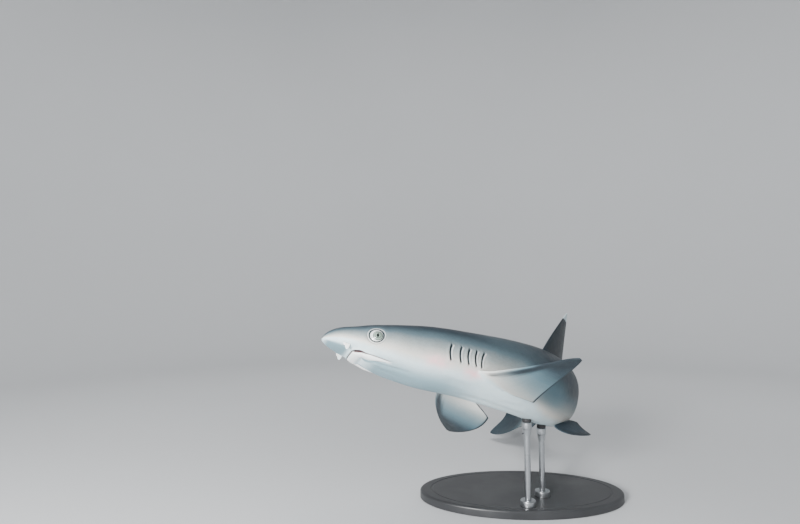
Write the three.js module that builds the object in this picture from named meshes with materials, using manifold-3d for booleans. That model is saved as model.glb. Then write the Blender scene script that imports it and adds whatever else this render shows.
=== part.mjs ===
// A whitetip reef shark, life size, turning as it swims, on a plain display stand.
// Millimetres, +Z up, origin at the centre of the underside of the stand's base.
//
// The shark is first built straight: its snout at the origin, x forward, y to its left, z up,
// so that a point `at` fractions of its length behind the snout has x = -at * LENGTH.
// The finished solids are then laid along the curved spine.

import * as THREE from 'three';
import { mergeVertices } from 'three/addons/utils/BufferGeometryUtils.js';
import Module from 'manifold-3d';

// ---------------------------------------------------------------- driving sizes

const LENGTH = 1200; // snout to tail tip, along the spine
const GAP = 0.3; // between touching pieces
const SNOUT = new THREE.Vector3(-370, -223.5, 328); // the tip of the snout on the stand

// The head's attitude, in degrees: turned off -X towards -Y, nose up, belly rolled towards -Y.
const HEAD_TURN = 12.9;
const HEAD_NOSE_UP = 11.1;
const HEAD_BANK = 20.2;

// The spine's turning rates, in radians for one body length, in front and behind.
const BEND = [2.655, 2.868]; // towards the shark's right
const RISE = [0.263, -1.158]; // the tail end up
const TWIST = [-0.728, -1.389]; // about the spine
// What the loins and the tail's beat add to the turning rates.
const LOINS = { bend: -2.692, rise: -2.582, twist: -2.894 };
const TAIL_BEAT = { bend: 1.788, rise: 3.022, twist: 0.279 };

// The trunk's sections, in fractions of LENGTH.
const SECTIONS = [
  { at: 0.0, halfWidth: 0.032, back: 0.0254, belly: 0.008 },
  { at: 0.02, halfWidth: 0.0358, back: 0.026, belly: 0.013 },
  { at: 0.04, halfWidth: 0.039, back: 0.0249, belly: 0.0163 },
  { at: 0.07, halfWidth: 0.0437, back: 0.0292, belly: 0.0264 },
  { at: 0.1, halfWidth: 0.0478, back: 0.0348, belly: 0.0351 },
  { at: 0.15, halfWidth: 0.0492, back: 0.0426, belly: 0.0429 },
  { at: 0.2, halfWidth: 0.0476, back: 0.0469, belly: 0.0445 },
  { at: 0.3, halfWidth: 0.0454, back: 0.0552, belly: 0.0521 },
  { at: 0.36, halfWidth: 0.0441, back: 0.0578, belly: 0.0565 },
  { at: 0.42, halfWidth: 0.042, back: 0.0563, belly: 0.06 },
  { at: 0.48, halfWidth: 0.0389, back: 0.0511, belly: 0.0575 },
  { at: 0.55, halfWidth: 0.0323, back: 0.0427, belly: 0.046 },
  { at: 0.62, halfWidth: 0.0238, back: 0.0344, belly: 0.0335 },
  { at: 0.7, halfWidth: 0.0159, back: 0.025, belly: 0.0235 },
  { at: 0.76, halfWidth: 0.0122, back: 0.0215, belly: 0.0195 },
];
const SNOUT_TIP = 0.003; // where the solid snout starts
const SNOUT_ROUNDING = 0.074; // the snout's dome reaches this far back
const BACK_ROUNDNESS = 0.92; // 1 is an ellipse, less is squarer
const SNOUT_ROUNDNESS = 0.68; // of the snout's flat underside
const CHIN_ROUNDNESS = 0.8;
const BELLY_ROUNDNESS = 0.92;

// Where the body is parted, in fractions of LENGTH.
const THROAT_START = 0.112;
const TRUNK_START = 0.222;
const MID_TRUNK = 0.37;
const STALK_START = 0.57;
const TAIL_FIN_START = 0.756;

// Points round a section of the body, and of a fin.
const BODY_POINTS = 28;
const FIN_POINTS = 12;

// The mouth from the side, from its front to its corner: the line that parts the jaws, as
// [at, up] in fractions of LENGTH.
const MOUTH_FRONT = 0.0395;
const LIP_LINE = [
  [MOUTH_FRONT, -0.0137],
  [0.0525, -0.0153],
  [0.0607, -0.0176],
  [0.0772, -0.0211],
  [0.0975, -0.0257],
];

// The eyes face a little forward, by `turn` degrees, as the head widens behind them.
const EYE = { at: 0.0688, side: 0.0381, up: 0.0055, length: 23.6, depth: 14, height: 22.4, turn: 8 };

const GILLS = { at: [0.1662, 0.1797, 0.1906, 0.2011, 0.2105], height: 30, bow: 3, cut: 0.9, depth: 5 };

// The fins, in fractions of LENGTH. `lean` is how far back the tip lies and `tip` its width, and `bow`
// is how far the front edge bulges. `rear` is how far the free rear tip stands behind the base, `rearAt`
// its place on the span, and `hollow` how far the rear edge curves in between it and the tip.
const FIRST_DORSAL = {
  at: 0.385, base: 0.102, span: 0.098, lean: 0.109, bow: 0.0075, tip: 0.01,
  rear: 0.036, rearAt: 0.1, hollow: 0.42, thick: 0.0072,
};
const SECOND_DORSAL = {
  at: 0.632, base: 0.066, span: 0.056, lean: 0.06, bow: 0.004, tip: 0.01,
  rear: 0.028, rearAt: 0.12, hollow: 0.5, thick: 0.005,
};
const ANAL = {
  at: 0.645, base: 0.06, span: 0.05, lean: 0.058, bow: 0.004, tip: 0.01,
  rear: 0.026, rearAt: 0.12, hollow: 0.5, thick: 0.005,
};
const PECTORAL = {
  at: 0.207, side: 0.045, up: -0.0162, base: 0.046, tip: 0.012, rearAt: 0.2, thick: 0.0085,
};
const PELVIC = {
  at: 0.42, side: 0.013, up: -0.055, base: 0.048, tip: 0.012,
  rear: 0.014, rearAt: 0.24, hollow: 0.85, thick: 0.0055,
};
// How each paired fin is held, in degrees: swept back, raised, and its front edge tilted up. Its tip
// droops by `droop` and its front edge bulges by `bow`, in fractions of LENGTH. The right pectoral is
// on the inside of the turn, swept further back with a fuller rear edge.
const PECTORAL_LEFT_HELD = {
  sweep: 17.1, lift: 0.2, pitch: 16.8, droop: -0.0006,
  span: 0.1483, lean: -0.015, bow: -0.0042, rear: 0.0447, hollow: 0.935,
};
const PECTORAL_RIGHT_HELD = {
  sweep: 27, lift: -18.6, pitch: 27, droop: -0.0078,
  span: 0.158, lean: 0.02, bow: 0.016, rear: 0.035, hollow: 1.9,
};
const PELVIC_LEFT_HELD = {
  sweep: -6.7, lift: -35.5, pitch: -19.8, droop: -0.013, span: 0.0458, lean: 0.0315, bow: 0.0137,
};
const PELVIC_RIGHT_HELD = {
  sweep: 24, lift: -45, pitch: -30, droop: 0, span: 0.05, lean: 0.034, bow: 0.006,
};
const FIN_ROOT_DEPTH = 0.022; // how far a fin's root runs into the body before it is trimmed
const FIN_EDGE = 0.7; // a fin's thickness at its edges

// The tail fin's top and bottom edges, in fractions of LENGTH.
const TAIL_TOP = [
  [0.75, 0.0215], [0.775, 0.0225], [0.8, 0.033], [0.85, 0.051], [0.9, 0.067], [0.95, 0.0805],
  [0.985, 0.0885], [1.0, 0.0875],
];
const TAIL_BOTTOM = [
  [0.75, -0.0195], [0.768, -0.026], [0.8, -0.06], [0.83, -0.0748], [0.843, -0.0765],
  [0.848, -0.072], [0.854, -0.036], [0.862, -0.019], [0.875, -0.003], [0.9, 0.0145],
  [0.93, 0.033], [0.946, 0.0445], [0.953, 0.0545], [0.964, 0.0505], [0.985, 0.0605], [1.0, 0.0785],
];
const LOBE_SPLIT = [[0.74, -0.009], [0.8, -0.009], [0.9, -0.009]]; // between the two lobes
const LOBE_GAP = 0.8; // wider than the others, as this cut twists with the tail

// The stand.
const RODS_AT = { front: 0.35, rear: 0.405 }; // where the two rods meet the belly
const BASE = { halfLength: 200, halfDepth: 114, height: 16, bevel: 4 };
const ROD_RADIUS = 5.5;
const COLLAR = { radius: 14, height: 10, bevel: 2 };
const PAD = { radius: 9, height: 10, taper: 12, sink: 25 }; // the rod's head, trimmed by the belly

// ---------------------------------------------------------------- small helpers

const DEGREE = Math.PI / 180;

// A smooth step from 0 at `from` to 1 at `to`.
function ease(value, from, to) {
  const t = THREE.MathUtils.clamp((value - from) / (to - from), 0, 1);
  return t * t * (3 - 2 * t);
}

// A monotone cubic through [place, value] pairs, so that an outline never overshoots its points.
function smoothOutline(points) {
  const steps = points.slice(1).map((p, i) => p[0] - points[i][0]);
  const slopes = points.slice(1).map((p, i) => (p[1] - points[i][1]) / steps[i]);
  const tangents = points.map((p, i) => {
    if (i === 0) return slopes[0];
    if (i === points.length - 1) return slopes[i - 1];
    if (slopes[i - 1] * slopes[i] <= 0) return 0;
    const before = 2 * steps[i] + steps[i - 1];
    const after = steps[i] + 2 * steps[i - 1];
    return (before + after) / (before / slopes[i - 1] + after / slopes[i]);
  });
  return (place) => {
    const last = points.length - 2;
    let i = 0;
    while (i < last && place > points[i + 1][0]) i += 1;
    const t = THREE.MathUtils.clamp((place - points[i][0]) / steps[i], 0, 1);
    const rise = points[i + 1][1] - points[i][1];
    const start = tangents[i] * steps[i];
    const end = tangents[i + 1] * steps[i];
    return points[i][1] + t * start + t * t * (3 * rise - 2 * start - end) + t ** 3 * (start + end - 2 * rise);
  };
}

function signedPower(value, power) {
  return Math.sign(value) * Math.abs(value) ** power;
}

// ---------------------------------------------------------------- the curved spine

const SPINE_STEPS = 400;

function turningRates(at) {
  const ends = ease(at, 0.093, 0.193) * (1 - ease(at, 0.78, 1));
  const bend = (BEND[0] + (BEND[1] - BEND[0]) * ease(at, 0.4, 0.65)) * ends;
  const frontRise = RISE[0] * ease(at, 0.12, 0.2) * (1 - ease(at, 0.45, 0.6));
  const rearRise = RISE[1] * ease(at, 0.45, 0.6) * (1 - ease(at, 0.85, 1));
  const frontTwist = TWIST[0] * ease(at, 0.12, 0.2) * (1 - ease(at, 0.45, 0.55));
  const rearTwist = TWIST[1] * ease(at, 0.5, 0.6) * (1 - ease(at, 0.75, 0.85));
  const loins = ease(at, 0.54, 0.62) * (1 - ease(at, 0.66, 0.74));
  const beat = ease(at, 0.66, 0.74) * (1 - ease(at, 0.86, 0.96));
  const added = (key) => LOINS[key] * loins + TAIL_BEAT[key] * beat;
  return {
    bend: bend + added('bend'),
    rise: frontRise + rearRise + added('rise'),
    twist: frontTwist + rearTwist + added('twist'),
  };
}

function headFrame() {
  const turn = HEAD_TURN * DEGREE;
  const noseUp = HEAD_NOSE_UP * DEGREE;
  const level = Math.cos(noseUp);
  const forward = new THREE.Vector3(-level * Math.cos(turn), -level * Math.sin(turn), Math.sin(noseUp));
  const left = new THREE.Vector3(0, 0, 1).cross(forward).normalize();
  left.applyAxisAngle(forward, HEAD_BANK * DEGREE);
  return { centre: SNOUT.clone(), forward, left, up: forward.clone().cross(left) };
}

// The spine's frames from snout to tail, each a little turn on from the one before.
function makeSpine() {
  const frames = [headFrame()];
  for (let i = 0; i < SPINE_STEPS; i += 1) {
    const { centre, forward, left, up } = frames[i];
    const rates = turningRates((i + 0.5) / SPINE_STEPS);
    const axis = new THREE.Vector3();
    axis.addScaledVector(up, rates.bend);
    axis.addScaledVector(left, rates.rise);
    axis.addScaledVector(forward, rates.twist);
    const angle = axis.length() / SPINE_STEPS;
    axis.normalize();
    const middle = forward.clone().applyAxisAngle(axis, angle / 2);
    frames.push({
      centre: centre.clone().addScaledVector(middle, -LENGTH / SPINE_STEPS),
      forward: forward.clone().applyAxisAngle(axis, angle),
      left: left.clone().applyAxisAngle(axis, angle),
      up: up.clone().applyAxisAngle(axis, angle),
    });
  }
  return frames;
}

const SPINE = makeSpine();

// The spine's frame at a fraction of the length, between the two nearest steps.
function spineFrame(at) {
  const step = THREE.MathUtils.clamp(at, 0, 1) * SPINE_STEPS;
  const i = Math.min(Math.floor(step), SPINE_STEPS - 1);
  const blend = (key) => SPINE[i][key].clone().lerp(SPINE[i + 1][key], step - i);
  return { centre: blend('centre'), forward: blend('forward'), left: blend('left'), up: blend('up') };
}

// Lays a point of the straight shark along the curved spine.
function layAlongSpine(point) {
  const frame = spineFrame(-point.x / LENGTH);
  const laid = frame.centre;
  laid.addScaledVector(frame.left, point.y);
  laid.addScaledVector(frame.up, point.z);
  return laid;
}

// Carries a point of the straight shark stiffly with the spine's frame at one place.
function carryStiffly(at) {
  const frame = spineFrame(at);
  return (point) => {
    const carried = frame.centre.clone();
    carried.addScaledVector(frame.forward, point.x + at * LENGTH);
    carried.addScaledVector(frame.left, point.y);
    carried.addScaledVector(frame.up, point.z);
    return carried;
  };
}

// ---------------------------------------------------------------- solids

// A closed solid through rings of points, with a fan over each end.
function loft(rings, move = (point) => point) {
  const count = rings[0].length;
  const points = rings.flat();
  const middle = (ring) => ring.reduce((sum, p) => sum.add(p), new THREE.Vector3()).divideScalar(count);
  points.push(middle(rings[0]), middle(rings[rings.length - 1]));
  const positions = points.map(move).flatMap((p) => [p.x, p.y, p.z]);
  const index = [];
  for (let r = 0; r < rings.length - 1; r += 1) {
    for (let i = 0; i < count; i += 1) {
      const a = r * count + i;
      const b = r * count + ((i + 1) % count);
      index.push(a, b, a + count, b, b + count, a + count);
    }
  }
  const lastRing = (rings.length - 1) * count;
  for (let i = 0; i < count; i += 1) {
    const next = (i + 1) % count;
    index.push(points.length - 2, next, i);
    index.push(points.length - 1, lastRing + i, lastRing + next);
  }
  const geometry = new THREE.BufferGeometry();
  geometry.setAttribute('position', new THREE.Float32BufferAttribute(positions, 3));
  geometry.setIndex(index);
  return facingOut(geometry);
}

// Turns a closed shape's faces round if they point inwards.
function facingOut(geometry) {
  const position = geometry.getAttribute('position');
  const index = geometry.getIndex();
  const corner = (i) => new THREE.Vector3().fromBufferAttribute(position, index.getX(i));
  let volume = 0;
  for (let i = 0; i < index.count; i += 3) {
    volume += corner(i).dot(corner(i + 1).cross(corner(i + 2)));
  }
  if (volume < 0) {
    for (let i = 0; i < index.count; i += 3) {
      const first = index.getX(i);
      index.setX(i, index.getX(i + 2));
      index.setX(i + 2, first);
    }
  }
  return geometry;
}

const wasm = await Module();
wasm.setup();

// A shape's corners joined into one closed surface.
function joined(geometry) {
  const bare = geometry.clone();
  bare.deleteAttribute('normal');
  bare.deleteAttribute('uv');
  return mergeVertices(bare, 1e-4);
}

function toSolid(geometry) {
  const merged = joined(geometry);
  return new wasm.Manifold(new wasm.Mesh({
    numProp: 3,
    vertProperties: new Float32Array(merged.getAttribute('position').array),
    triVerts: new Uint32Array(merged.getIndex().array),
  }));
}

function fromSolid(solid, move = (point) => point) {
  const mesh = solid.getMesh();
  const positions = [];
  for (let i = 0; i < mesh.numVert; i += 1) {
    const start = i * mesh.numProp;
    const [x, y, z] = mesh.vertProperties.slice(start, start + 3);
    const point = move(new THREE.Vector3(x, y, z));
    positions.push(point.x, point.y, point.z);
  }
  const geometry = new THREE.BufferGeometry();
  geometry.setAttribute('position', new THREE.Float32BufferAttribute(positions, 3));
  geometry.setIndex(Array.from(mesh.triVerts));
  return facingOut(geometry);
}

// A prism across the whole body, from an outline of [at, up] points in fractions of LENGTH.
function prismAcross(outline, grow = 0) {
  const shape = new THREE.Shape(outline.map(([at, up]) => new THREE.Vector2(-at * LENGTH, up * LENGTH)));
  const width = 0.2 * LENGTH;
  const geometry = new THREE.ExtrudeGeometry(shape, { depth: width, bevelEnabled: false });
  geometry.translate(grow, grow, -width / 2);
  geometry.rotateX(Math.PI / 2);
  return geometry;
}

// ---------------------------------------------------------------- the body's sections

const halfWidthAt = smoothOutline(SECTIONS.map((s) => [s.at, s.halfWidth]));
const backAt = smoothOutline(SECTIONS.map((s) => [s.at, s.back]));
const bellyAt = smoothOutline(SECTIONS.map((s) => [s.at, s.belly]));

// The snout's dome: 0 at its tip, 1 behind its rounding.
function domeAt(at) {
  const t = THREE.MathUtils.clamp((SNOUT_ROUNDING - at) / (SNOUT_ROUNDING - SNOUT_TIP), 0, 1);
  return Math.sqrt(1 - t * t);
}

// One ring of the straight body, swollen by `grow` millimetres.
function bodyRing(at, grow = 0) {
  const ring = [];
  const dome = domeAt(at);
  const underside = SNOUT_ROUNDNESS + (CHIN_ROUNDNESS - SNOUT_ROUNDNESS) * ease(at, 0.028, 0.05)
    + (BELLY_ROUNDNESS - CHIN_ROUNDNESS) * ease(at, 0.05, 0.13);
  for (let i = 0; i < BODY_POINTS; i += 1) {
    const angle = (2 * Math.PI * (i + 0.5)) / BODY_POINTS;
    const above = Math.sin(angle) > 0;
    const power = above ? BACK_ROUNDNESS : underside;
    const height = (above ? backAt(at) : bellyAt(at)) * dome * LENGTH + grow;
    const halfWidth = halfWidthAt(at) * dome * LENGTH + grow;
    const y = halfWidth * signedPower(Math.cos(angle), power);
    const z = height * signedPower(Math.sin(angle), power);
    ring.push(new THREE.Vector3(-at * LENGTH, y, z));
  }
  return ring;
}

// Places of rings between two cuts, closer together at a snout.
function ringPlaces(from, to, count, towardsSnout = 1) {
  const places = [];
  for (let i = 0; i <= count; i += 1) {
    places.push(from + (to - from) * (i / count) ** towardsSnout);
  }
  return places;
}

// The ring places of each length of the body, from its cuts and its number of steps.
const HALF_GAP = GAP / 2 / LENGTH;
const HEAD_PLACES = ringPlaces(SNOUT_TIP + 0.0004, THROAT_START - HALF_GAP, 14, 1.6);
const THROAT_PLACES = ringPlaces(THROAT_START + HALF_GAP, TRUNK_START - HALF_GAP, 7);
const TRUNK_FRONT_PLACES = ringPlaces(TRUNK_START + HALF_GAP, MID_TRUNK - HALF_GAP, 9);
const TRUNK_REAR_PLACES = ringPlaces(MID_TRUNK + HALF_GAP, STALK_START - HALF_GAP, 12);
const STALK_PLACES = ringPlaces(STALK_START + HALF_GAP, TAIL_FIN_START - HALF_GAP, 11);

function bodyPiece(places) {
  return toSolid(loft(places.map((at) => bodyRing(at))));
}

// The whole body swollen by the gap, which trims whatever stands on it.
const corePlaces = [
  ...HEAD_PLACES, ...THROAT_PLACES, ...TRUNK_FRONT_PLACES, ...TRUNK_REAR_PLACES, ...STALK_PLACES,
];
const bodyCore = toSolid(loft(corePlaces.map((at) => bodyRing(at, GAP))));
const laidCore = toSolid(fromSolid(bodyCore, layAlongSpine));

// ---------------------------------------------------------------- materials

function finish(color, roughness, metalness = 0) {
  return new THREE.MeshStandardMaterial({ color, roughness, metalness });
}

const BACK_SKIN = finish(0x86847f, 0.5);
const BELLY_SKIN = finish(0xdfe3e2, 0.5);
const FIN_SKIN = finish(0x74767a, 0.5);
const PALE_FIN_SKIN = finish(0xc3c7cb, 0.5);
const EYE_SHINE = finish(0xb4c2a8, 0.15);
const STAND_FINISH = finish(0x2b2c2e, 0.45);
const ROD_FINISH = finish(0xb7babd, 0.3, 1);

const shark = new THREE.Group();

function addNode(name, geometry, material) {
  const mesh = new THREE.Mesh(geometry, material);
  mesh.name = name;
  shark.add(mesh);
}

// ---------------------------------------------------------------- head and jaw

const wholeHead = bodyPiece(HEAD_PLACES);

// The lower jaw's outline from the side: along the lips, then back under the corner of the mouth.
const BELOW = -0.06;
const jawOutline = [
  ...LIP_LINE,
  [THROAT_START + 0.01, -0.034],
  [THROAT_START + 0.01, BELOW],
  [MOUTH_FRONT, BELOW],
];
const jawBlock = toSolid(prismAcross(jawOutline));
const jawBlockGrown = toSolid(prismAcross(jawOutline, GAP));

function eyeball(side, grow) {
  const geometry = new THREE.SphereGeometry(1, 14, 8);
  geometry.scale(EYE.length / 2 + grow, EYE.depth / 2 + grow, EYE.height / 2 + grow);
  geometry.rotateZ(side * -EYE.turn * DEGREE);
  geometry.translate(-EYE.at * LENGTH, side * EYE.side * LENGTH, EYE.up * LENGTH);
  return geometry;
}

let upperHead = wholeHead.subtract(jawBlock.add(jawBlockGrown));
for (const side of [1, -1]) {
  upperHead = upperHead.subtract(toSolid(eyeball(side, GAP)));
}
addNode('head', fromSolid(upperHead, layAlongSpine), BACK_SKIN);
addNode('lower_jaw', fromSolid(wholeHead.intersect(jawBlock), layAlongSpine), BELLY_SKIN);

for (const [name, side] of [['eye_left', 1], ['eye_right', -1]]) {
  addNode(name, fromSolid(toSolid(eyeball(side, 0)), layAlongSpine), EYE_SHINE);
}

// ---------------------------------------------------------------- nostril flaps

const FLAP = { at: 0.032, side: 0.0235, up: -0.0098, length: 17, topRadius: 3.4, tipRadius: 2.1 };

for (const [name, side] of [['nostril_flap_left', 1], ['nostril_flap_right', -1]]) {
  const flap = new THREE.CylinderGeometry(FLAP.topRadius, FLAP.tipRadius, FLAP.length, 8, 1);
  flap.rotateX(Math.PI / 2);
  flap.rotateX(side * 38 * DEGREE);
  flap.rotateY(10 * DEGREE);
  flap.translate(-FLAP.at * LENGTH, side * FLAP.side * LENGTH, FLAP.up * LENGTH);
  addNode(name, fromSolid(toSolid(flap).subtract(bodyCore), layAlongSpine), BELLY_SKIN);
}

// ---------------------------------------------------------------- throat with the gill slits

// A curved blade whose bow points forward, which cuts one gill slit.
function gillBlade(at, side) {
  const half = GILLS.height / 2;
  const radius = (half * half + GILLS.bow * GILLS.bow) / (2 * GILLS.bow);
  const reach = Math.asin(half / radius);
  const blade = new THREE.Shape();
  blade.absarc(-radius, 0, radius, -reach, reach, false);
  blade.absarc(-radius, 0, radius - GILLS.cut, reach, -reach, true);
  const thickness = GILLS.depth * 2;
  const options = { depth: thickness, bevelEnabled: false, curveSegments: 3 };
  const geometry = new THREE.ExtrudeGeometry(blade, options);
  geometry.rotateX(Math.PI / 2);
  geometry.translate(-at * LENGTH, side * halfWidthAt(at) * LENGTH + thickness / 2, 0);
  return geometry;
}

let throat = bodyPiece(THROAT_PLACES);
for (const at of GILLS.at) {
  for (const side of [1, -1]) {
    throat = throat.subtract(toSolid(gillBlade(at, side)));
  }
}
addNode('throat_gills', fromSolid(throat, layAlongSpine), BACK_SKIN);

// ---------------------------------------------------------------- trunk and tail stalk

addNode('trunk_front', fromSolid(bodyPiece(TRUNK_FRONT_PLACES), layAlongSpine), BACK_SKIN);
addNode('trunk_rear', fromSolid(bodyPiece(TRUNK_REAR_PLACES), layAlongSpine), BACK_SKIN);
addNode('tail_stalk', fromSolid(bodyPiece(STALK_PLACES), layAlongSpine), BACK_SKIN);

// ---------------------------------------------------------------- fins

// A fin's front and rear edges at `t`, from 0 at the base to 1 at the tip, behind the base's front.
function finEdges(fin, t) {
  const along = THREE.MathUtils.clamp(t, 0, 1);
  const front = fin.lean * along - fin.bow * 4 * along * (1 - along);
  const lobe = fin.base + fin.rear;
  const inner = (along / fin.rearAt) ** 0.85;
  const outer = THREE.MathUtils.clamp((along - fin.rearAt) / (1 - fin.rearAt), 0, 1) ** fin.hollow;
  const rear = along < fin.rearAt ? fin.base + fin.rear * inner : lobe + (fin.lean + fin.tip - lobe) * outer;
  return { front, rear };
}

// The stations along a fin's span, closer together at the free rear tip and at the tip.
const FIN_STATIONS = [-1, 0, 0.05, 0.1, 0.18, 0.28, 0.4, 0.54, 0.68, 0.8, 0.89, 0.95, 0.985, 1];

// One ring of a fin: out along the left face from the front edge and back along the right one.
function finRing(fin, t, toBody) {
  const { front, rear } = finEdges(fin, t);
  const tipRound = Math.sqrt(Math.max(0, 1 - (Math.max(0, t - 0.86) / 0.14) ** 2));
  const chord = (rear - front) * Math.max(0.25, tipRound);
  const middle = (front + rear) / 2 + (t > 0.86 ? (rear - front) * 0.12 * (1 - tipRound) : 0);
  const span = t < 0 ? -FIN_ROOT_DEPTH : t * fin.span;
  const thick = fin.thick * LENGTH * (1 - 0.82 * Math.max(0, t)) * Math.min(1, chord / fin.base + 0.2);
  const half = FIN_POINTS / 2;
  const ring = [];
  for (let i = 0; i < FIN_POINTS; i += 1) {
    const share = i <= half ? i / half : (FIN_POINTS - i) / half;
    const along = (1 - Math.cos(Math.PI * share)) / 2;
    const fullness = Math.sin(Math.PI * along ** 0.62) * thick + FIN_EDGE;
    const face = i === 0 || i === half ? 0 : Math.sign(half - i);
    ring.push(toBody(span * LENGTH, (middle + chord * (along - 0.5)) * LENGTH, face * fullness * 0.5));
  }
  return ring;
}

// A fin on the midline: it stands up from the back, or down from the belly with `way` -1.
function midlineFin(name, fin, way, sink, material) {
  const surface = (at) => (way > 0 ? backAt(at) : bellyAt(at)) - sink;
  const foot = surface(fin.at);
  const heel = surface(fin.at + fin.base);
  const toBody = (span, back, side) => {
    const slope = foot + ((heel - foot) * back) / (fin.base * LENGTH);
    return new THREE.Vector3(-fin.at * LENGTH - back, side, way * (slope * LENGTH + span));
  };
  const whole = toSolid(loft(FIN_STATIONS.map((t) => finRing(fin, t, toBody))));
  addNode(name, fromSolid(whole.subtract(bodyCore), layAlongSpine), material);
}

midlineFin('first_dorsal_fin', FIRST_DORSAL, 1, 0.001, FIN_SKIN);
midlineFin('second_dorsal_fin', SECOND_DORSAL, 1, 0.001, FIN_SKIN);
midlineFin('anal_fin', ANAL, -1, 0.001, FIN_SKIN);

// A paired fin, held at its own sweep, lift and pitch, and carried stiffly by the spine.
function pairedFin(name, fin, side, held, material) {
  const sweep = held.sweep * DEGREE;
  const lift = held.lift * DEGREE;
  const pitch = held.pitch * DEGREE;
  const out = new THREE.Vector3(
    -Math.sin(sweep) * Math.cos(lift), side * Math.cos(sweep) * Math.cos(lift), Math.sin(lift),
  );
  const back = new THREE.Vector3(-Math.cos(sweep), -side * Math.sin(sweep), 0);
  back.applyAxisAngle(out, -side * pitch);
  const face = new THREE.Vector3().crossVectors(out, back).multiplyScalar(side);
  const root = new THREE.Vector3(-fin.at * LENGTH, side * fin.side * LENGTH, fin.up * LENGTH);
  const toBody = (span, behind, thickness) => {
    const point = root.clone();
    point.addScaledVector(out, span);
    point.addScaledVector(back, behind);
    point.addScaledVector(face, thickness - held.droop * LENGTH * (span / (held.span * LENGTH)) ** 2);
    return point;
  };
  const carry = carryStiffly(fin.at + fin.base / 2);
  const flexed = { ...fin, ...held };
  const whole = toSolid(loft(FIN_STATIONS.map((t) => finRing(flexed, t, toBody)), carry));
  addNode(name, fromSolid(whole.subtract(laidCore)), material);
}

pairedFin('pectoral_fin_left', PECTORAL, 1, PECTORAL_LEFT_HELD, PALE_FIN_SKIN);
pairedFin('pectoral_fin_right', PECTORAL, -1, PECTORAL_RIGHT_HELD, PALE_FIN_SKIN);
pairedFin('pelvic_fin_left', PELVIC, 1, PELVIC_LEFT_HELD, FIN_SKIN);
pairedFin('pelvic_fin_right', PELVIC, -1, PELVIC_RIGHT_HELD, FIN_SKIN);

// ---------------------------------------------------------------- the tail fin

const tailTopAt = smoothOutline(TAIL_TOP);
const tailBottomAt = smoothOutline(TAIL_BOTTOM);
const TAIL_POINTS = 16;

// One ring of the tail fin: thick along the spine's line in the upper lobe, thin at both edges.
function tailRing(at) {
  const top = tailTopAt(at);
  const bottom = tailBottomAt(at);
  const fade = ease(at, TAIL_FIN_START, 1);
  const core = top - 0.0215 - 0.004 * fade;
  const coreHeight = 0.021 - 0.011 * fade;
  const flattened = ease(at, 0.75, 0.86);
  const coreHalf = (halfWidthAt(0.76) * (1 - flattened) + 0.0042 * flattened) * (1 - 0.75 * fade);
  const half = TAIL_POINTS / 2;
  const ring = [];
  for (let i = 0; i < TAIL_POINTS; i += 1) {
    const share = i <= half ? i / half : (TAIL_POINTS - i) / half;
    const z = bottom + (top - bottom) * (1 - Math.cos(Math.PI * share)) / 2;
    const hump = Math.exp(-(((z - core) / coreHeight) ** 2));
    const edge = Math.sqrt(Math.sin(Math.PI * share));
    const face = i === 0 || i === half ? 0 : Math.sign(half - i);
    const web = FIN_EDGE / 2 + 0.8 * (1 - fade) * edge;
    ring.push(new THREE.Vector3(-at * LENGTH, face * (coreHalf * hump * edge * LENGTH + web), z * LENGTH));
  }
  return ring;
}

const TAIL_TIP = 0.9985;
const tailPlaces = [
  ...ringPlaces(TAIL_FIN_START + HALF_GAP, 0.82, 6),
  0.832, 0.8395, 0.8435, 0.8475, 0.85, 0.8535, 0.86, 0.872, 0.893, 0.912, 0.932, 0.944, 0.951, 0.958,
  0.967, 0.98, 0.991, TAIL_TIP,
];
const wholeTail = toSolid(loft(tailPlaces.map(tailRing)));
const lobeOutline = [...LOBE_SPLIT, [0.9, -0.2], [0.74, -0.2]];
const lobeBlock = toSolid(prismAcross(lobeOutline));
const lobeBlockRaised = toSolid(prismAcross(lobeOutline.map(([at, up]) => [at, up + LOBE_GAP / LENGTH])));
addNode('tail_fin_upper_lobe', fromSolid(wholeTail.subtract(lobeBlockRaised), layAlongSpine), FIN_SKIN);
addNode('tail_fin_lower_lobe', fromSolid(wholeTail.intersect(lobeBlock), layAlongSpine), FIN_SKIN);

// ---------------------------------------------------------------- the display stand

// A turned post: [radius, height] steps from its foot to its head.
function turned(steps, segments) {
  const profile = steps.map(([radius, height]) => new THREE.Vector2(radius, height));
  const geometry = new THREE.LatheGeometry(profile, segments);
  geometry.rotateX(Math.PI / 2);
  return facingOut(joined(geometry));
}

// The flat oval base, with its top edge bevelled.
const base = turned([[0, 0], [1, 0], [1, BASE.height - BASE.bevel],
  [1 - BASE.bevel / BASE.halfDepth, BASE.height], [0, BASE.height]], 48);
base.scale(BASE.halfLength, BASE.halfDepth, 1);
addNode('stand_base', base, STAND_FINISH);

for (const [place, at] of Object.entries(RODS_AT)) {
  const belly = layAlongSpine(new THREE.Vector3(-at * LENGTH, 0, -bellyAt(at) * LENGTH));
  const collarFoot = BASE.height + GAP;
  const collarTop = collarFoot + COLLAR.height;
  const collar = turned([
    [0, collarFoot], [COLLAR.radius, collarFoot], [COLLAR.radius, collarTop - COLLAR.bevel],
    [COLLAR.radius - COLLAR.bevel, collarTop], [0, collarTop],
  ], 24);
  collar.translate(belly.x, belly.y, 0);
  addNode(`stand_collar_${place}`, collar, ROD_FINISH);

  const foot = collarTop + GAP;
  const shoulder = belly.z - PAD.height;
  const head = belly.z + PAD.sink;
  const rod = turned([
    [0, foot], [ROD_RADIUS, foot], [ROD_RADIUS, shoulder - PAD.taper],
    [PAD.radius, shoulder], [PAD.radius, head], [0, head],
  ], 20);
  rod.translate(belly.x, belly.y, 0);
  addNode(`stand_rod_${place}`, fromSolid(toSolid(rod).subtract(laidCore)), ROD_FINISH);
}

export default shark;
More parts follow.
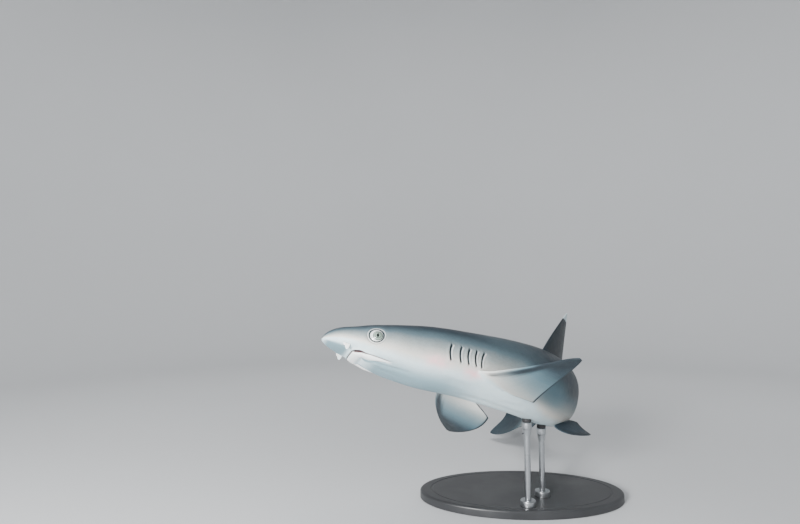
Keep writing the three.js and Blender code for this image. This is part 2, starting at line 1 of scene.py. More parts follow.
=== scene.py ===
"""A whitetip reef shark, life size, turning as it swims, on a plain display stand.

The skin, eyes and nasal flaps are modelled on a straight shark: snout at the origin, x forward,
y to its left, z up, so that a point `at` fractions of its length behind the snout has x = -at * LENGTH.
They are then laid along the same curved spine as the solids of the frame. Lengths are in metres.
"""

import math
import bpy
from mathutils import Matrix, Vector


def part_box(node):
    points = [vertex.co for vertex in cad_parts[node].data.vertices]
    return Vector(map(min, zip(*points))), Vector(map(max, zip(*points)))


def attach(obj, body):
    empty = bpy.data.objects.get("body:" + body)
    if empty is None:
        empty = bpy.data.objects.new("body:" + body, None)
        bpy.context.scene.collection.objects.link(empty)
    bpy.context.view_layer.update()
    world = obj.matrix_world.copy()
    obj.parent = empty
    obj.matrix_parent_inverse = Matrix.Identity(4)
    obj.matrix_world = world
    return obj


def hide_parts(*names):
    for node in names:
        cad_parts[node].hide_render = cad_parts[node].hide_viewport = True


bl_info = {
    "name": "Reef Shark on a Stand",
    "version": (1, 0, 0),
    "blender": (4, 5, 0),
    "location": "View3D > Sidebar > Reef Shark",
    "description": "Models a swimming whitetip reef shark and its display stand around the packed frame",
    "category": "Add Mesh",
}

import bmesh
import bpy
import numpy as np
from mathutils import Quaternion, Vector

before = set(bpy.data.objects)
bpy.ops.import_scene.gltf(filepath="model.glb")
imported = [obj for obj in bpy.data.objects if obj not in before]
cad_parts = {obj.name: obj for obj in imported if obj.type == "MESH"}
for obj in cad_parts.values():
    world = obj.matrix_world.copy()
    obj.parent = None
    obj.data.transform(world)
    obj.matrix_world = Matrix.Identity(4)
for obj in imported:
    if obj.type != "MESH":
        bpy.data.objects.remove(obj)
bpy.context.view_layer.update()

# ------------------------------------------------------------------ the shark's sizes

MM = 0.001
LENGTH = 1.2
SNOUT = Vector((-0.370, -0.2235, 0.328))

# The head's attitude: turned off -X towards -Y, nose up, belly rolled towards -Y.
HEAD_TURN, HEAD_NOSE_UP, HEAD_BANK = (math.radians(a) for a in (12.9, 11.1, 20.2))

# The spine's turning rates, in radians for one body length, in front and behind.
BEND = (2.655, 2.868)
RISE = (0.263, -1.158)
TWIST = (-0.728, -1.389)
LOINS = (-2.692, -2.582, -2.894)  # what the loins add to the bend, rise and twist
TAIL_BEAT = (1.788, 3.022, 0.279)  # and what the tail's beat adds
SPINE_STEPS = 400

# The trunk's sections: place, half width, height of the back, depth of the belly, as fractions.
SECTIONS = (
    (0.0, 0.032, 0.0254, 0.008),
    (0.02, 0.0358, 0.026, 0.013),
    (0.04, 0.039, 0.0249, 0.0163),
    (0.07, 0.0437, 0.0292, 0.0264),
    (0.1, 0.0478, 0.0348, 0.0351),
    (0.15, 0.0492, 0.0426, 0.0429),
    (0.2, 0.0476, 0.0469, 0.0445),
    (0.3, 0.0454, 0.0552, 0.0521),
    (0.36, 0.0441, 0.0578, 0.0565),
    (0.42, 0.042, 0.0563, 0.06),
    (0.48, 0.0389, 0.0511, 0.0575),
    (0.55, 0.0323, 0.0427, 0.046),
    (0.62, 0.0238, 0.0344, 0.0335),
    (0.7, 0.0159, 0.025, 0.0235),
    (0.76, 0.0122, 0.0215, 0.0195),
)
SNOUT_TIP = 0.003
SNOUT_ROUNDING = 0.074
BACK_ROUNDNESS, SNOUT_ROUNDNESS, CHIN_ROUNDNESS, BELLY_ROUNDNESS = 0.92, 0.68, 0.8, 0.92
TRUNK_END, TAIL_FIN_START = 0.76, 0.756

# The fins, in fractions of LENGTH, as in the solids of the frame.
FIRST_DORSAL = dict(
    at=0.385, base=0.102, span=0.098, lean=0.109, bow=0.0075, tip=0.01,
    rear=0.036, rear_at=0.1, hollow=0.42, thick=0.0072,
)
SECOND_DORSAL = dict(
    at=0.632, base=0.066, span=0.056, lean=0.06, bow=0.004, tip=0.01,
    rear=0.028, rear_at=0.12, hollow=0.5, thick=0.005,
)
ANAL = dict(
    at=0.645, base=0.06, span=0.05, lean=0.058, bow=0.004, tip=0.01,
    rear=0.026, rear_at=0.12, hollow=0.5, thick=0.005,
)
PECTORAL = dict(
    at=0.207, side=0.045, up=-0.0162, base=0.046, tip=0.012, rear_at=0.2, thick=0.0085,
)
PELVIC = dict(
    at=0.42, side=0.013, up=-0.055, base=0.048, tip=0.012,
    rear=0.014, rear_at=0.24, hollow=0.85, thick=0.0055,
)
# How each paired fin is held: swept back, raised and pitched, in degrees, and flexed, in fractions.
PECTORAL_LEFT = dict(
    PECTORAL, way=1, sweep=17.1, lift=0.2, pitch=16.8, droop=-0.0006,
    span=0.1483, lean=-0.015, bow=-0.0042, rear=0.0447, hollow=0.935,
)
PECTORAL_RIGHT = dict(
    PECTORAL, way=-1, sweep=27, lift=-18.6, pitch=27, droop=-0.0078,
    span=0.158, lean=0.02, bow=0.016, rear=0.035, hollow=1.9,
)
PELVIC_LEFT = dict(
    PELVIC, way=1, sweep=-6.7, lift=-35.5, pitch=-19.8, droop=-0.013,
    span=0.0458, lean=0.0315, bow=0.0137,
)
PELVIC_RIGHT = dict(
    PELVIC, way=-1, sweep=24, lift=-45, pitch=-30, droop=0, span=0.05, lean=0.034, bow=0.006,
)

# The tail fin: its spine's depth under the top edge and half thickness, in fractions of LENGTH,
# and its top and bottom edges.
TAIL_CORE_DEPTH, TAIL_CORE_HALF = 0.0215, 0.0042
TAIL_TOP = (
    (0.75, 0.0215), (0.775, 0.0225), (0.8, 0.033), (0.85, 0.051), (0.9, 0.067), (0.95, 0.0805),
    (0.985, 0.0885), (1.0, 0.0875),
)
TAIL_BOTTOM = (
    (0.75, -0.0195), (0.768, -0.026), (0.8, -0.06), (0.83, -0.0748), (0.843, -0.0765),
    (0.848, -0.072), (0.854, -0.036), (0.862, -0.019), (0.875, -0.003), (0.9, 0.0145),
    (0.93, 0.033), (0.946, 0.0445), (0.953, 0.0545), (0.964, 0.0505), (0.985, 0.0605), (1.0, 0.0785),
)

# Rows of the cage run along the body, and are counted round it from the left side over the back.
ROWS = 40
ROW_STEP = 2 * math.pi / ROWS
FINS = (  # name, fin, first of the two rows that its root stands between
    ("first_dorsal", FIRST_DORSAL, 9),
    ("second_dorsal", SECOND_DORSAL, 9),
    ("anal", ANAL, 29),
    ("pectoral_left", PECTORAL_LEFT, 35),
    ("pectoral_right", PECTORAL_RIGHT, 23),
    ("pelvic_left", PELVIC_LEFT, 32),
    ("pelvic_right", PELVIC_RIGHT, 26),
)
FIN_STATIONS = (
    0.04, 0.1, 0.15, 0.185, 0.2, 0.215, 0.25, 0.32, 0.43, 0.55, 0.67, 0.78, 0.87, 0.93, 0.97, 1.0,
)
# Every fin: where its rounded tip starts, how much it thins outwards, how far forward it is
# thickest (as a power of the chord's share), and half the thickness of its edges.
TIP_FROM, THINS_BY, CHORD_POWER, FIN_EDGE = 0.86, 0.82, 0.62, 0.35 * MM

# The mouth from the side: place and height of the line that parts the jaws, front to corner.
LIP_LINE = (
    (0.0395, -0.0137), (0.0525, -0.0153), (0.0607, -0.0176), (0.0772, -0.0211), (0.0975, -0.0257),
)
MOUTH_FRONT, MOUTH_BOW = 0.0438, 0.0010  # its front edge under the snout, and how far that bows
FURROW = ((0.0885, -0.0205), (0.1, -0.0248))  # the shallow furrow behind the mouth's corner

GILLS_AT = (0.1662, 0.1797, 0.1906, 0.2011, 0.2105)
GILL_BOW, LAST_GILL_LEAN = 3.6 * MM, 2.2 * MM
GILL_DEPTH, NOSTRIL_DEPTH, SOCKET_DEPTH = 3.8, 5.5, 10  # in mm
NOSTRIL_HALF_LENGTH, NOSTRIL_HALF_HEIGHT, NOSTRIL_TILT = 5.4 * MM, 2.6 * MM, 0.3

# The root of each nasal flap, from its rear end to its front one: place, and height in metres.
FLAP_ROOT = ((0.0385, -10.6 * MM), (0.0285, -7.4 * MM))

# The iris and its slit pupil, in mm round the place that the eye looks from.
IRIS_RADIUS, IRIS_REARWARD, IRIS_DOWNWARD = 7.8, 2.0, 0.8
PUPIL_HALF_HEIGHT, PUPIL_HALF_WIDTH = 4.6, 1.65


# ------------------------------------------------------------------ small helpers


def ease(value, start, end):
    """A smooth step from 0 at `start` to 1 at `end`."""
    t = np.clip((np.asarray(value, float) - start) / (end - start), 0, 1)
    return t * t * (3 - 2 * t)


def hill(distance, width):
    """A smooth bump, 1 at the middle and almost nothing at twice its width."""
    return np.exp(-((distance / width) ** 2))


def smooth_outline(points):
    """A monotone cubic through (place, value) pairs, as a function of places."""
    at, value = np.array([p[0] for p in points]), np.array([p[1] for p in points])
    steps = np.diff(at)
    slopes = np.diff(value) / steps
    before, after = slopes[:-1], slopes[1:]
    one, two = 2 * steps[1:] + steps[:-1], steps[1:] + 2 * steps[:-1]
    same_way = before * after > 0
    inner = np.zeros(len(before))
    inner[same_way] = (one + two)[same_way] / (
        one[same_way] / before[same_way] + two[same_way] / after[same_way]
    )
    tangents = np.concatenate([slopes[:1], inner, slopes[-1:]])

    def outline(place):
        place = np.asarray(place, float)
        i = np.clip(np.searchsorted(at, place) - 1, 0, len(steps) - 1)
        t = np.clip((place - at[i]) / steps[i], 0, 1)
        rise = value[i + 1] - value[i]
        start, end = tangents[i] * steps[i], tangents[i + 1] * steps[i]
        return (
            value[i] + t * start + t * t * (3 * rise - 2 * start - end)
            + t**3 * (start + end - 2 * rise)
        )

    return outline


def signed_power(value, power):
    return np.sign(value) * np.abs(value) ** power


half_width_at, back_at, belly_at = (smooth_outline([(s[0], s[k]) for s in SECTIONS]) for k in (1, 2, 3))
tail_top_at = smooth_outline(TAIL_TOP)
tail_bottom_at = smooth_outline(TAIL_BOTTOM)
lip_height_at = smooth_outline(LIP_LINE)


# ------------------------------------------------------------------ the curved spine


def turning_rates(at):
    """How fast the spine bends, rises and twists at a place, in radians for one body length."""
    ends = ease(at, 0.093, 0.193) * (1 - ease(at, 0.78, 1))
    bend = (BEND[0] + (BEND[1] - BEND[0]) * ease(at, 0.4, 0.65)) * ends
    rise = RISE[0] * ease(at, 0.12, 0.2) * (1 - ease(at, 0.45, 0.6))
    rise += RISE[1] * ease(at, 0.45, 0.6) * (1 - ease(at, 0.85, 1))
    twist = TWIST[0] * ease(at, 0.12, 0.2) * (1 - ease(at, 0.45, 0.55))
    twist += TWIST[1] * ease(at, 0.5, 0.6) * (1 - ease(at, 0.75, 0.85))
    loins = ease(at, 0.54, 0.62) * (1 - ease(at, 0.66, 0.74))
    beat = ease(at, 0.66, 0.74) * (1 - ease(at, 0.86, 0.96))
    rates = zip((bend, rise, twist), LOINS, TAIL_BEAT)
    return [rate + loins * loin + beat * tail for rate, loin, tail in rates]


def make_spine():
    """The spine's centre and its forward, left and up directions at every step, as four arrays."""
    level = math.cos(HEAD_NOSE_UP)
    forward = Vector(
        (-level * math.cos(HEAD_TURN), -level * math.sin(HEAD_TURN), math.sin(HEAD_NOSE_UP))
    )
    left = Vector((0, 0, 1)).cross(forward).normalized()
    left.rotate(Quaternion(forward, HEAD_BANK))
    centre, up = SNOUT.copy(), forward.cross(left)
    frames = [(centre, forward, left, up)]
    for i in range(SPINE_STEPS):
        bend, rise, twist = turning_rates((i + 0.5) / SPINE_STEPS)
        axis = float(bend) * up + float(rise) * left + float(twist) * forward
        angle = axis.length / SPINE_STEPS
        middle = Quaternion(axis, angle / 2) @ forward
        turn = Quaternion(axis, angle)
        centre = centre - middle * (LENGTH / SPINE_STEPS)
        forward, left, up = turn @ forward, turn @ left, turn @ up
        frames.append((centre, forward, left, up))
    return [np.array([f[k] for f in frames]) for k in range(4)]


SPINE = make_spine()


def spine_frame(at):
    """The spine's centre, forward, left and up at each place, between the two nearest steps."""
    step = np.clip(np.atleast_1d(at), 0, 1) * SPINE_STEPS
    i = np.minimum(step.astype(int), SPINE_STEPS - 1)
    blend = (step - i)[:, None]
    return [part[i] * (1 - blend) + part[i + 1] * blend for part in SPINE]


def lay_along_spine(points):
    """Lays points of the straight shark along the curved spine."""
    centre, _, left, up = spine_frame(-points[:, 0] / LENGTH)
    return centre + left * points[:, 1:2] + up * points[:, 2:3]


def carry_stiffly(points, at):
    """Carries points of the straight shark with the spine's frame at one place."""
    centre, forward, left, up = spine_frame(at)
    ahead = points[:, 0:1] + at * LENGTH
    return centre + forward * ahead + left * points[:, 1:2] + up * points[:, 2:3]


# ------------------------------------------------------------------ the straight body's surface


def dome_at(at):
    """The snout's dome: 0 at its tip, 1 behind its rounding."""
    t = np.clip((SNOUT_ROUNDING - np.asarray(at)) / (SNOUT_ROUNDING - SNOUT_TIP), 0, 1)
    return np.sqrt(1 - t * t)


def section_at(at, above):
    """Half width, half height and roundness of the body's section, above or below its middle."""
    dome = dome_at(at) * LENGTH
    underside = SNOUT_ROUNDNESS + (CHIN_ROUNDNESS - SNOUT_ROUNDNESS) * ease(at, 0.028, 0.05)
    underside = underside + (BELLY_ROUNDNESS - CHIN_ROUNDNESS) * ease(at, 0.05, 0.13)
    power = np.where(above, BACK_ROUNDNESS, underside)
    return half_width_at(at) * dome, np.where(above, back_at(at), belly_at(at)) * dome, power


def body_point(at, angle):
    """A point of the straight body, at an angle round it from its left side over the back."""
    at, angle = np.asarray(at, float), np.asarray(angle, float)
    half, height, power = section_at(at, np.sin(angle) > 0)
    y = half * signed_power(np.cos(angle), power)
    z = height * signed_power(np.sin(angle), power)
    return np.stack([-at * LENGTH + 0 * y, y, z], -1)


def share_of_section(points):
    """How far out points lie, as a share of the section that they are in: 1 is on the skin."""
    half, height, power = section_at(-points[:, 0] / LENGTH, points[:, 2] > 0)
    across = np.abs(points[:, 1] / half) ** (2 / power) + np.abs(points[:, 2] / height) ** (2 / power)
    return across ** (power / 2)


# ------------------------------------------------------------------ fins on the straight shark


def fin_edges(fin, t):
    """A fin's front and rear edges, behind the front of its base, as fractions of LENGTH."""
    front = fin["lean"] * t - fin["bow"] * 4 * t * (1 - t)
    lobe = fin["base"] + fin["rear"]
    if t < fin["rear_at"]:
        return front, fin["base"] + fin["rear"] * (t / fin["rear_at"]) ** 0.85
    outer = ((t - fin["rear_at"]) / (1 - fin["rear_at"])) ** fin["hollow"]
    return front, lobe + (fin["lean"] + fin["tip"] - lobe) * outer


def fin_axes(fin):
    """The root point of a paired fin, and the directions out along it, back, and off its face."""
    sweep, lift, pitch = (math.radians(fin[k]) for k in ("sweep", "lift", "pitch"))
    way = fin["way"]
    level = math.cos(lift)
    out = Vector((-math.sin(sweep) * level, way * math.cos(sweep) * level, math.sin(lift)))
    back = Vector((-math.cos(sweep), -way * math.sin(sweep), 0))
    back.rotate(Quaternion(out, -way * pitch))
    face = out.cross(back) * way
    root = Vector((-fin["at"], way * fin["side"], fin["up"])) * LENGTH
    return [np.array(v) for v in (root, out, back, face)]


def fin_point(fin, span, behind, off):
    """A point of a fin: out along it, behind the front of its base, off its middle plane."""
    if "way" in fin:
        root, out, back, face = fin_axes(fin)
        sag = fin["droop"] * LENGTH * (span / (fin["span"] * LENGTH)) ** 2
        return root + out * span + back * behind + face * (off - sag)
    up = 1 if fin is not ANAL else -1
    surface = back_at if up > 0 else belly_at
    foot, heel = (float(surface(fin["at"] + k * fin["base"])) - 0.001 for k in (0, 1))
    height = foot + (heel - foot) * behind / (fin["base"] * LENGTH)
    return np.array([-fin["at"] * LENGTH - behind, off, up * (height * LENGTH + span)])


def fin_cage_point(fin, t, chord_share, side):
    """A point of a fin's cage: at `t` of its span and a share of its chord, on one side."""
    front, rear = fin_edges(fin, t)
    tip_round = math.sqrt(max(0, 1 - (max(0, t - TIP_FROM) / (1.01 - TIP_FROM)) ** 2))
    chord = (rear - front) * max(0.25, tip_round)
    middle = (front + rear) / 2 + (rear - front) * 0.12 * (1 - tip_round)
    thick = fin["thick"] * LENGTH * (1 - THINS_BY * t) * min(1, chord / fin["base"] + 0.2)
    swell = math.sin(math.pi * chord_share**CHORD_POWER) * thick / 2
    edge = (0.9 - 0.4 * t) * (1 - chord_share) ** 2 * MM + FIN_EDGE
    behind = (middle + chord * (chord_share - 0.5)) * LENGTH
    return fin_point(fin, t * fin["span"] * LENGTH, behind, side * (swell + edge))


def root_line(fin):
    """Where the middle plane of a paired fin leaves the body: places and angles, front to rear."""
    root, out, back, _ = fin_axes(fin)
    places, angles = [], []
    for share in np.linspace(0, 1, 9):
        near, far = -0.03, 0.06
        for _ in range(24):
            middle = (near + far) / 2
            point = root + back * (share * fin["base"] * LENGTH) + out * middle
            inside = share_of_section(point[None])[0] < 1
            near, far = (middle, far) if inside else (near, middle)
        half, height, power = section_at(-point[0] / LENGTH, point[2] > 0)
        y = signed_power(point[1] / half, 1 / power)
        z = signed_power(point[2] / height, 1 / power)
        places.append(-point[0] / LENGTH)
        angles.append(math.atan2(z, y))
    angles = np.unwrap(np.array(angles))
    return np.array(places), np.where(angles < -math.pi / 2, angles + 2 * math.pi, angles)


# ------------------------------------------------------------------ the cage of the skin


def ring_places():
    """Where the cage's rings stand: close on the snout, head and gills, and at each fin's root."""
    snout_angles = np.radians([3, 8, 14, 20, 26, 32, 38, 44, 50, 55, 60, 65, 69.5, 74, 78.5, 83, 87])
    snout = SNOUT_ROUNDING - (SNOUT_ROUNDING - SNOUT_TIP) * np.cos(snout_angles)
    head = np.arange(0.0746, 0.207, 0.0046)
    trunk = (
        0.207, 0.2116, 0.2162, 0.2212, 0.2272, 0.234, 0.2412, 0.2485, 0.257, 0.268, 0.281,
        0.296, 0.312, 0.328, 0.344, 0.359, 0.373, 0.385, 0.392, 0.405, 0.422, 0.44,
        0.455, 0.463, 0.474, 0.487, 0.503, 0.515, 0.53, 0.547, 0.564, 0.581, 0.598,
        0.613, 0.625, 0.632, 0.638, 0.645, 0.655, 0.668, 0.682, 0.698, 0.705, 0.716,
        0.73, 0.743,
    )
    tail = (
        0.756, 0.768, 0.78, 0.792, 0.804, 0.815, 0.824, 0.831, 0.837, 0.841, 0.844,
        0.847, 0.8495, 0.852, 0.855, 0.86, 0.868, 0.879, 0.892, 0.907, 0.922, 0.935,
        0.9445, 0.9515,
        0.959, 0.969, 0.98, 0.989, 0.9955, 1.0,
    )
    return [*snout, *head, *trunk, *tail]


RINGS = ring_places()


def root_rings(fin):
    """The first and last rings of a fin's root."""
    start, end = fin["at"], fin["at"] + fin["base"]
    if "way" in fin:
        places, _ = root_line(fin)
        start, end = places[0], places[-1]
    return [int(np.argmin([abs(ring - place) for ring in RINGS])) for place in (start, end)]


def row_angles(roots):
    """For every ring, the angles of its rows, drawn together where a fin's root stands."""
    even = (np.arange(ROWS) + 0.5) * ROW_STEP
    angles = np.tile(even, (len(RINGS), 1))
    for _, fin, row, first, last in roots:
        start, end = RINGS[first], RINGS[last]
        paired = "way" in fin
        places, line = root_line(fin) if paired else ((start, end), [even[row] + ROW_STEP / 2] * 2)
        reach = 5.5 if paired else 2.5
        for i, at in enumerate(RINGS):
            near = ease(at, start - 0.03, start) * (1 - ease(at, end, end + 0.03))
            if near <= 0:
                continue
            middle = np.interp(at, places, line) % (2 * math.pi)
            share = float(np.clip((at - start) / (end - start), 0, 1))
            radius = np.hypot(*body_point(at, middle)[1:])
            half = math.sin(math.pi * share**CHORD_POWER) * fin["thick"] * LENGTH / 2 + 1.8 * MM
            for sign, edge_row in ((-1, row), (1, row + 1)):
                shift = middle + sign * half / radius - even[edge_row]
                for k in range(int(reach) + 1):
                    angles[i, (edge_row + sign * k) % ROWS] += near * shift * (1 - k / reach)
    return angles


def tail_point(at, angle):
    """A point of the tail fin: thick along the spine in its upper lobe, thin at both edges."""
    top, bottom = float(tail_top_at(at)), float(tail_bottom_at(at))
    fade = ease(at, TAIL_FIN_START, 1)
    core = top - TAIL_CORE_DEPTH - 0.004 * fade
    flattened = ease(at, 0.75, 0.86)
    core_half = half_width_at(TRUNK_END) * (1 - flattened) + TAIL_CORE_HALF * flattened
    core_half *= 1 - 0.75 * fade
    z = bottom + (top - bottom) * (1 + math.sin(angle)) / 2
    edge = math.sqrt(abs(math.cos(angle)))
    hump = hill(z - core, 0.021 - 0.011 * fade)
    web = FIN_EDGE + 0.8 * MM * (1 - fade) * edge
    y = math.copysign(core_half * hump * edge * LENGTH + web, math.cos(angle))
    return np.array([-at * LENGTH, y, z * LENGTH])


def cage_point(at, angle):
    """A point of the cage on the body or, behind its trunk, on the tail fin."""
    if at < TAIL_FIN_START - 0.001:
        return body_point(at, angle)
    body = body_point(min(at, TRUNK_END), angle)
    body[0] = -at * LENGTH
    turned_fin = float(ease(at, 0.75, 0.785))
    return body * (1 - turned_fin) + tail_point(at, angle) * turned_fin


def deselect_all():
    if bpy.context.object and bpy.context.object.mode != "OBJECT":
        bpy.ops.object.mode_set(mode="OBJECT")
    bpy.ops.object.select_all(action="DESELECT")


def pick_only(piece):
    """Makes one piece the selected and active one, out of edit mode."""
    deselect_all()
    piece.select_set(True)
    bpy.context.view_layer.objects.active = piece


def begin(name):
    """Names the primitive just added and enters edit mode on it alone."""
    piece = bpy.context.object
    piece.name = piece.data.name = name
    bpy.ops.object.mode_set(mode="EDIT")
    return piece


def extruded(mesh):
    """Extrudes what is selected, and returns the edit mesh with its new, selected corners."""
    bpy.ops.mesh.extrude_region_move()
    cage = bmesh.from_edit_mesh(mesh)
    return cage, [v for v in cage.verts if v.select]


def model_cage():
    """The coarse cage of the whole skin: a tube of rings, with each fin drawn out of its root."""
    roots = [(*f, *root_rings(f[1])) for f in FINS]
    angles = row_angles(roots)

    deselect_all()
    bpy.ops.mesh.primitive_circle_add(vertices=ROWS, radius=0.01, fill_type="TRIFAN")
    skin = begin("shark_skin")
    mesh = skin.data
    cage = bmesh.from_edit_mesh(mesh)
    row_of = cage.verts.layers.int.new("row")
    ring_of = cage.verts.layers.int.new("ring")
    rim = [v for v in cage.verts if len(v.link_faces) == 2]
    for v in cage.verts:
        v[row_of] = -1
        v.co = (-SNOUT_TIP * LENGTH, 0, 0)
    for row, v in enumerate(sorted(rim, key=lambda v: v.index)):
        v[row_of] = row
        v.co = cage_point(RINGS[0], angles[0, row])
    bpy.ops.mesh.select_all(action="DESELECT")
    for edge in cage.edges:
        if edge.is_boundary:
            edge.select_set(True)
    bmesh.update_edit_mesh(mesh)
    for ring in range(1, len(RINGS)):
        cage, fresh = extruded(mesh)
        row_of, ring_of = cage.verts.layers.int["row"], cage.verts.layers.int["ring"]
        for v in fresh:
            v[ring_of] = ring
            v.co = cage_point(RINGS[ring], angles[ring, v[row_of]])
        bmesh.update_edit_mesh(mesh)
    bpy.ops.mesh.edge_face_add()

    cage = bmesh.from_edit_mesh(mesh)
    for layer in ("span", "chord", "side", *(f[0] for f in FINS)):
        cage.verts.layers.float.new(layer)
    bmesh.update_edit_mesh(mesh)
    for name, fin, row, first, last in roots:
        draw_out_fin(mesh, name, fin, row, first, last)
    bpy.ops.mesh.select_all(action="SELECT")
    bpy.ops.mesh.normals_make_consistent(inside=False)
    bpy.ops.object.mode_set(mode="OBJECT")
    return skin


def draw_out_fin(mesh, name, fin, row, first, last):
    """Draws one fin out of the strip of faces between two rows, ring by ring to its tip."""
    cage = bmesh.from_edit_mesh(mesh)
    row_of, ring_of = cage.verts.layers.int["row"], cage.verts.layers.int["ring"]
    bpy.ops.mesh.select_all(action="DESELECT")
    for face in cage.faces:
        on_strip = all(
            v[row_of] in (row, row + 1) and first <= v[ring_of] <= last for v in face.verts
        )
        if on_strip and len(face.verts) == 4:
            face.select_set(True)
    bmesh.update_edit_mesh(mesh)
    upper = row + 1 if fin.get("way", 1) > 0 else row
    for t in FIN_STATIONS:
        cage, fresh = extruded(mesh)
        layers = cage.verts.layers
        for v in fresh:
            step = v[layers.int["ring"]] - first
            even = (1 - math.cos(math.pi * step / (last - first))) / 2
            rooted = (RINGS[first + step] - RINGS[first]) / (RINGS[last] - RINGS[first])
            share = rooted + (even - rooted) * min(1, t / 0.2)
            on_upper = v[layers.int["row"]] == upper
            side = 1 if (on_upper if "way" in fin else v.co.y > 0) else -1
            v.co = fin_cage_point(fin, t, share, side)
            for layer, value in (("span", t), ("chord", share), ("side", side), (name, 1)):
                v[layers.float[layer]] = value
        bmesh.update_edit_mesh(mesh)


def add_modifier(piece, kind, **settings):
    """Adds a modifier, sets it up and applies it."""
    modifier = piece.modifiers.new(kind.title(), kind)
    for key, value in settings.items():
        setattr(modifier, key, value)
    bpy.context.view_layer.objects.active = piece
    bpy.ops.object.modifier_apply(modifier=modifier.name)


def read_points(mesh):
    flat = np.empty(len(mesh.vertices) * 3, np.float32)
    mesh.vertices.foreach_get("co", flat)
    return flat.reshape(-1, 3).astype(float)


def write_points(mesh, points):
    mesh.vertices.foreach_set("co", points.astype(np.float32).ravel())
    mesh.update()


def read_attribute(mesh, name):
    values = np.empty(len(mesh.vertices), np.float32)
    mesh.attributes[name].data.foreach_get("value", values)
    return values.astype(float)


def write_attribute(mesh, name, values):
    """Stores one number or one vector a corner, which the materials read by name."""
    kind, key = ("FLOAT", "value") if values.ndim == 1 else ("FLOAT_VECTOR", "vector")
    if name in mesh.attributes:
        mesh.attributes.remove(mesh.attributes[name])
    layer = mesh.attributes.new(name, kind, "POINT")
    layer.data.foreach_set(key, values.astype(np.float32).ravel())


# ------------------------------------------------------------------ sculpting the straight skin


def on_skin(x, z, way):
    """Points of the straight body's left or right side, at places x and heights z."""
    x, z = np.asarray(x, float), np.asarray(z, float)
    half, height, power = section_at(-x / LENGTH, z > 0)
    share = np.clip(np.abs(z) / height, 0, 1)
    return np.stack([x, way * half * (1 - share ** (2 / power)) ** (power / 2), z], -1)


def nearest_on(points, curve):
    """How far each point is from a finely stepped curve, and which step of it is nearest."""
    distance, step = np.empty(len(points)), np.empty(len(points), int)
    for start in range(0, len(points), 4000):
        part = slice(start, start + 4000)
        apart = np.linalg.norm(points[part, None] - curve[None], axis=2)
        step[part] = apart.argmin(1)
        distance[part] = apart.min(1)
    return distance, step


def feature_curves(sizes):
    """The finely sculpted lines, and how far round each, in mm, faces are split, level by level."""
    curves = [(lip_curve()[0], (26, 9, 3.2))]
    for way in (1, -1):
        curves.append((eye_oval(sizes, way).outline, (22, 10, 4.5)))
        curves.append((nostril_oval(sizes, way).outline, (15, 8, 4)))
        curves += [(gill_curve(at, sizes, way), (12, 6, 2.4)) for at in GILLS_AT]
    return curves


def refine_skin(skin, sizes):
    """Splits the faces round each feature, level by level, and rounds the head out again."""
    curves = feature_curves(sizes)
    mesh = skin.data
    pick_only(skin)
    for level in range(3):
        clay = Clay(mesh)
        near = np.zeros(len(clay.points), bool)
        for curve, reaches in curves:
            picked, _, _ = clay.near(curve, reaches[level])
            near[picked] = True
        bpy.ops.object.mode_set(mode="EDIT")
        bpy.ops.mesh.select_mode(type="FACE")
        bpy.ops.mesh.select_all(action="DESELECT")
        cage = bmesh.from_edit_mesh(mesh)
        for face in cage.faces:
            if any(near[v.index] for v in face.verts):
                face.select_set(True)
        bmesh.update_edit_mesh(mesh)
        bpy.ops.mesh.subdivide(number_cuts=1, smoothness=0)
        bpy.ops.mesh.select_mode(type="VERT")
        bpy.ops.object.mode_set(mode="OBJECT")
    clay = Clay(mesh)
    rounded = clay.body * (1 - ease(clay.at, 0.185, 0.225))
    scale = 1 + rounded * (1 / np.where(clay.body, share_of_section(clay.points), 1) - 1)
    clay.points[:, 1:] *= scale[:, None]
    write_points(mesh, clay.points)


class Clay:
    """The corners of the straight skin while they are sculpted, with distances and pushes in mm."""

    def __init__(self, mesh):
        self.mesh = mesh
        self.points = read_points(mesh)
        self.fin = sum(read_attribute(mesh, name) for name, *_ in FINS)
        self.at = -self.points[:, 0] / LENGTH
        self.body = (self.fin < 0.01) & (self.at < 0.45) & (self.at > 0.008)
        self.push = np.zeros(len(self.points))
        self.masks = {}

    def near(self, curve, reach):
        """The corners of the body within reach of a curve, with their distances and nearest steps."""
        low, high = curve.min(0) - reach * MM, curve.max(0) + reach * MM
        inside = self.body & np.all((self.points > low) & (self.points < high), axis=1)
        picked = np.flatnonzero(inside)
        distance, step = nearest_on(self.points[picked], curve)
        distance /= MM
        close = distance < reach
        return picked[close], distance[close], step[close]

    def draw_in(self, curve, reach, pull):
        """Draws corners along the skin towards a curve, so that the mesh is finest there."""
        picked, distance, step = self.near(curve, reach)
        before = self.points[picked]
        share = pull * (1 - (distance / reach) ** 2) ** 2
        after = before + (curve[step] - before) * share[:, None]
        scale = share_of_section(before) / share_of_section(after)
        after[:, 1:] *= scale[:, None]
        self.points[picked] = after

    def mark(self, name, picked, values):
        """Raises a mask, which the skin's material reads, to these values where it is lower."""
        mask = self.masks.setdefault(name, np.zeros(len(self.points)))
        mask[picked] = np.maximum(mask[picked], values)

    def settle(self):
        """Moves every corner off the skin by its push, along the skin's own normals."""
        write_points(self.mesh, self.points)
        normals = np.empty(len(self.points) * 3, np.float32)
        self.mesh.vertex_normals.foreach_get("vector", normals)
        self.points += normals.reshape(-1, 3) * self.push[:, None] * MM
        write_points(self.mesh, self.points)


def on_side(angle, way):
    """An angle round the body's left side, or the one that mirrors it on the right."""
    return angle if way > 0 else math.pi - angle


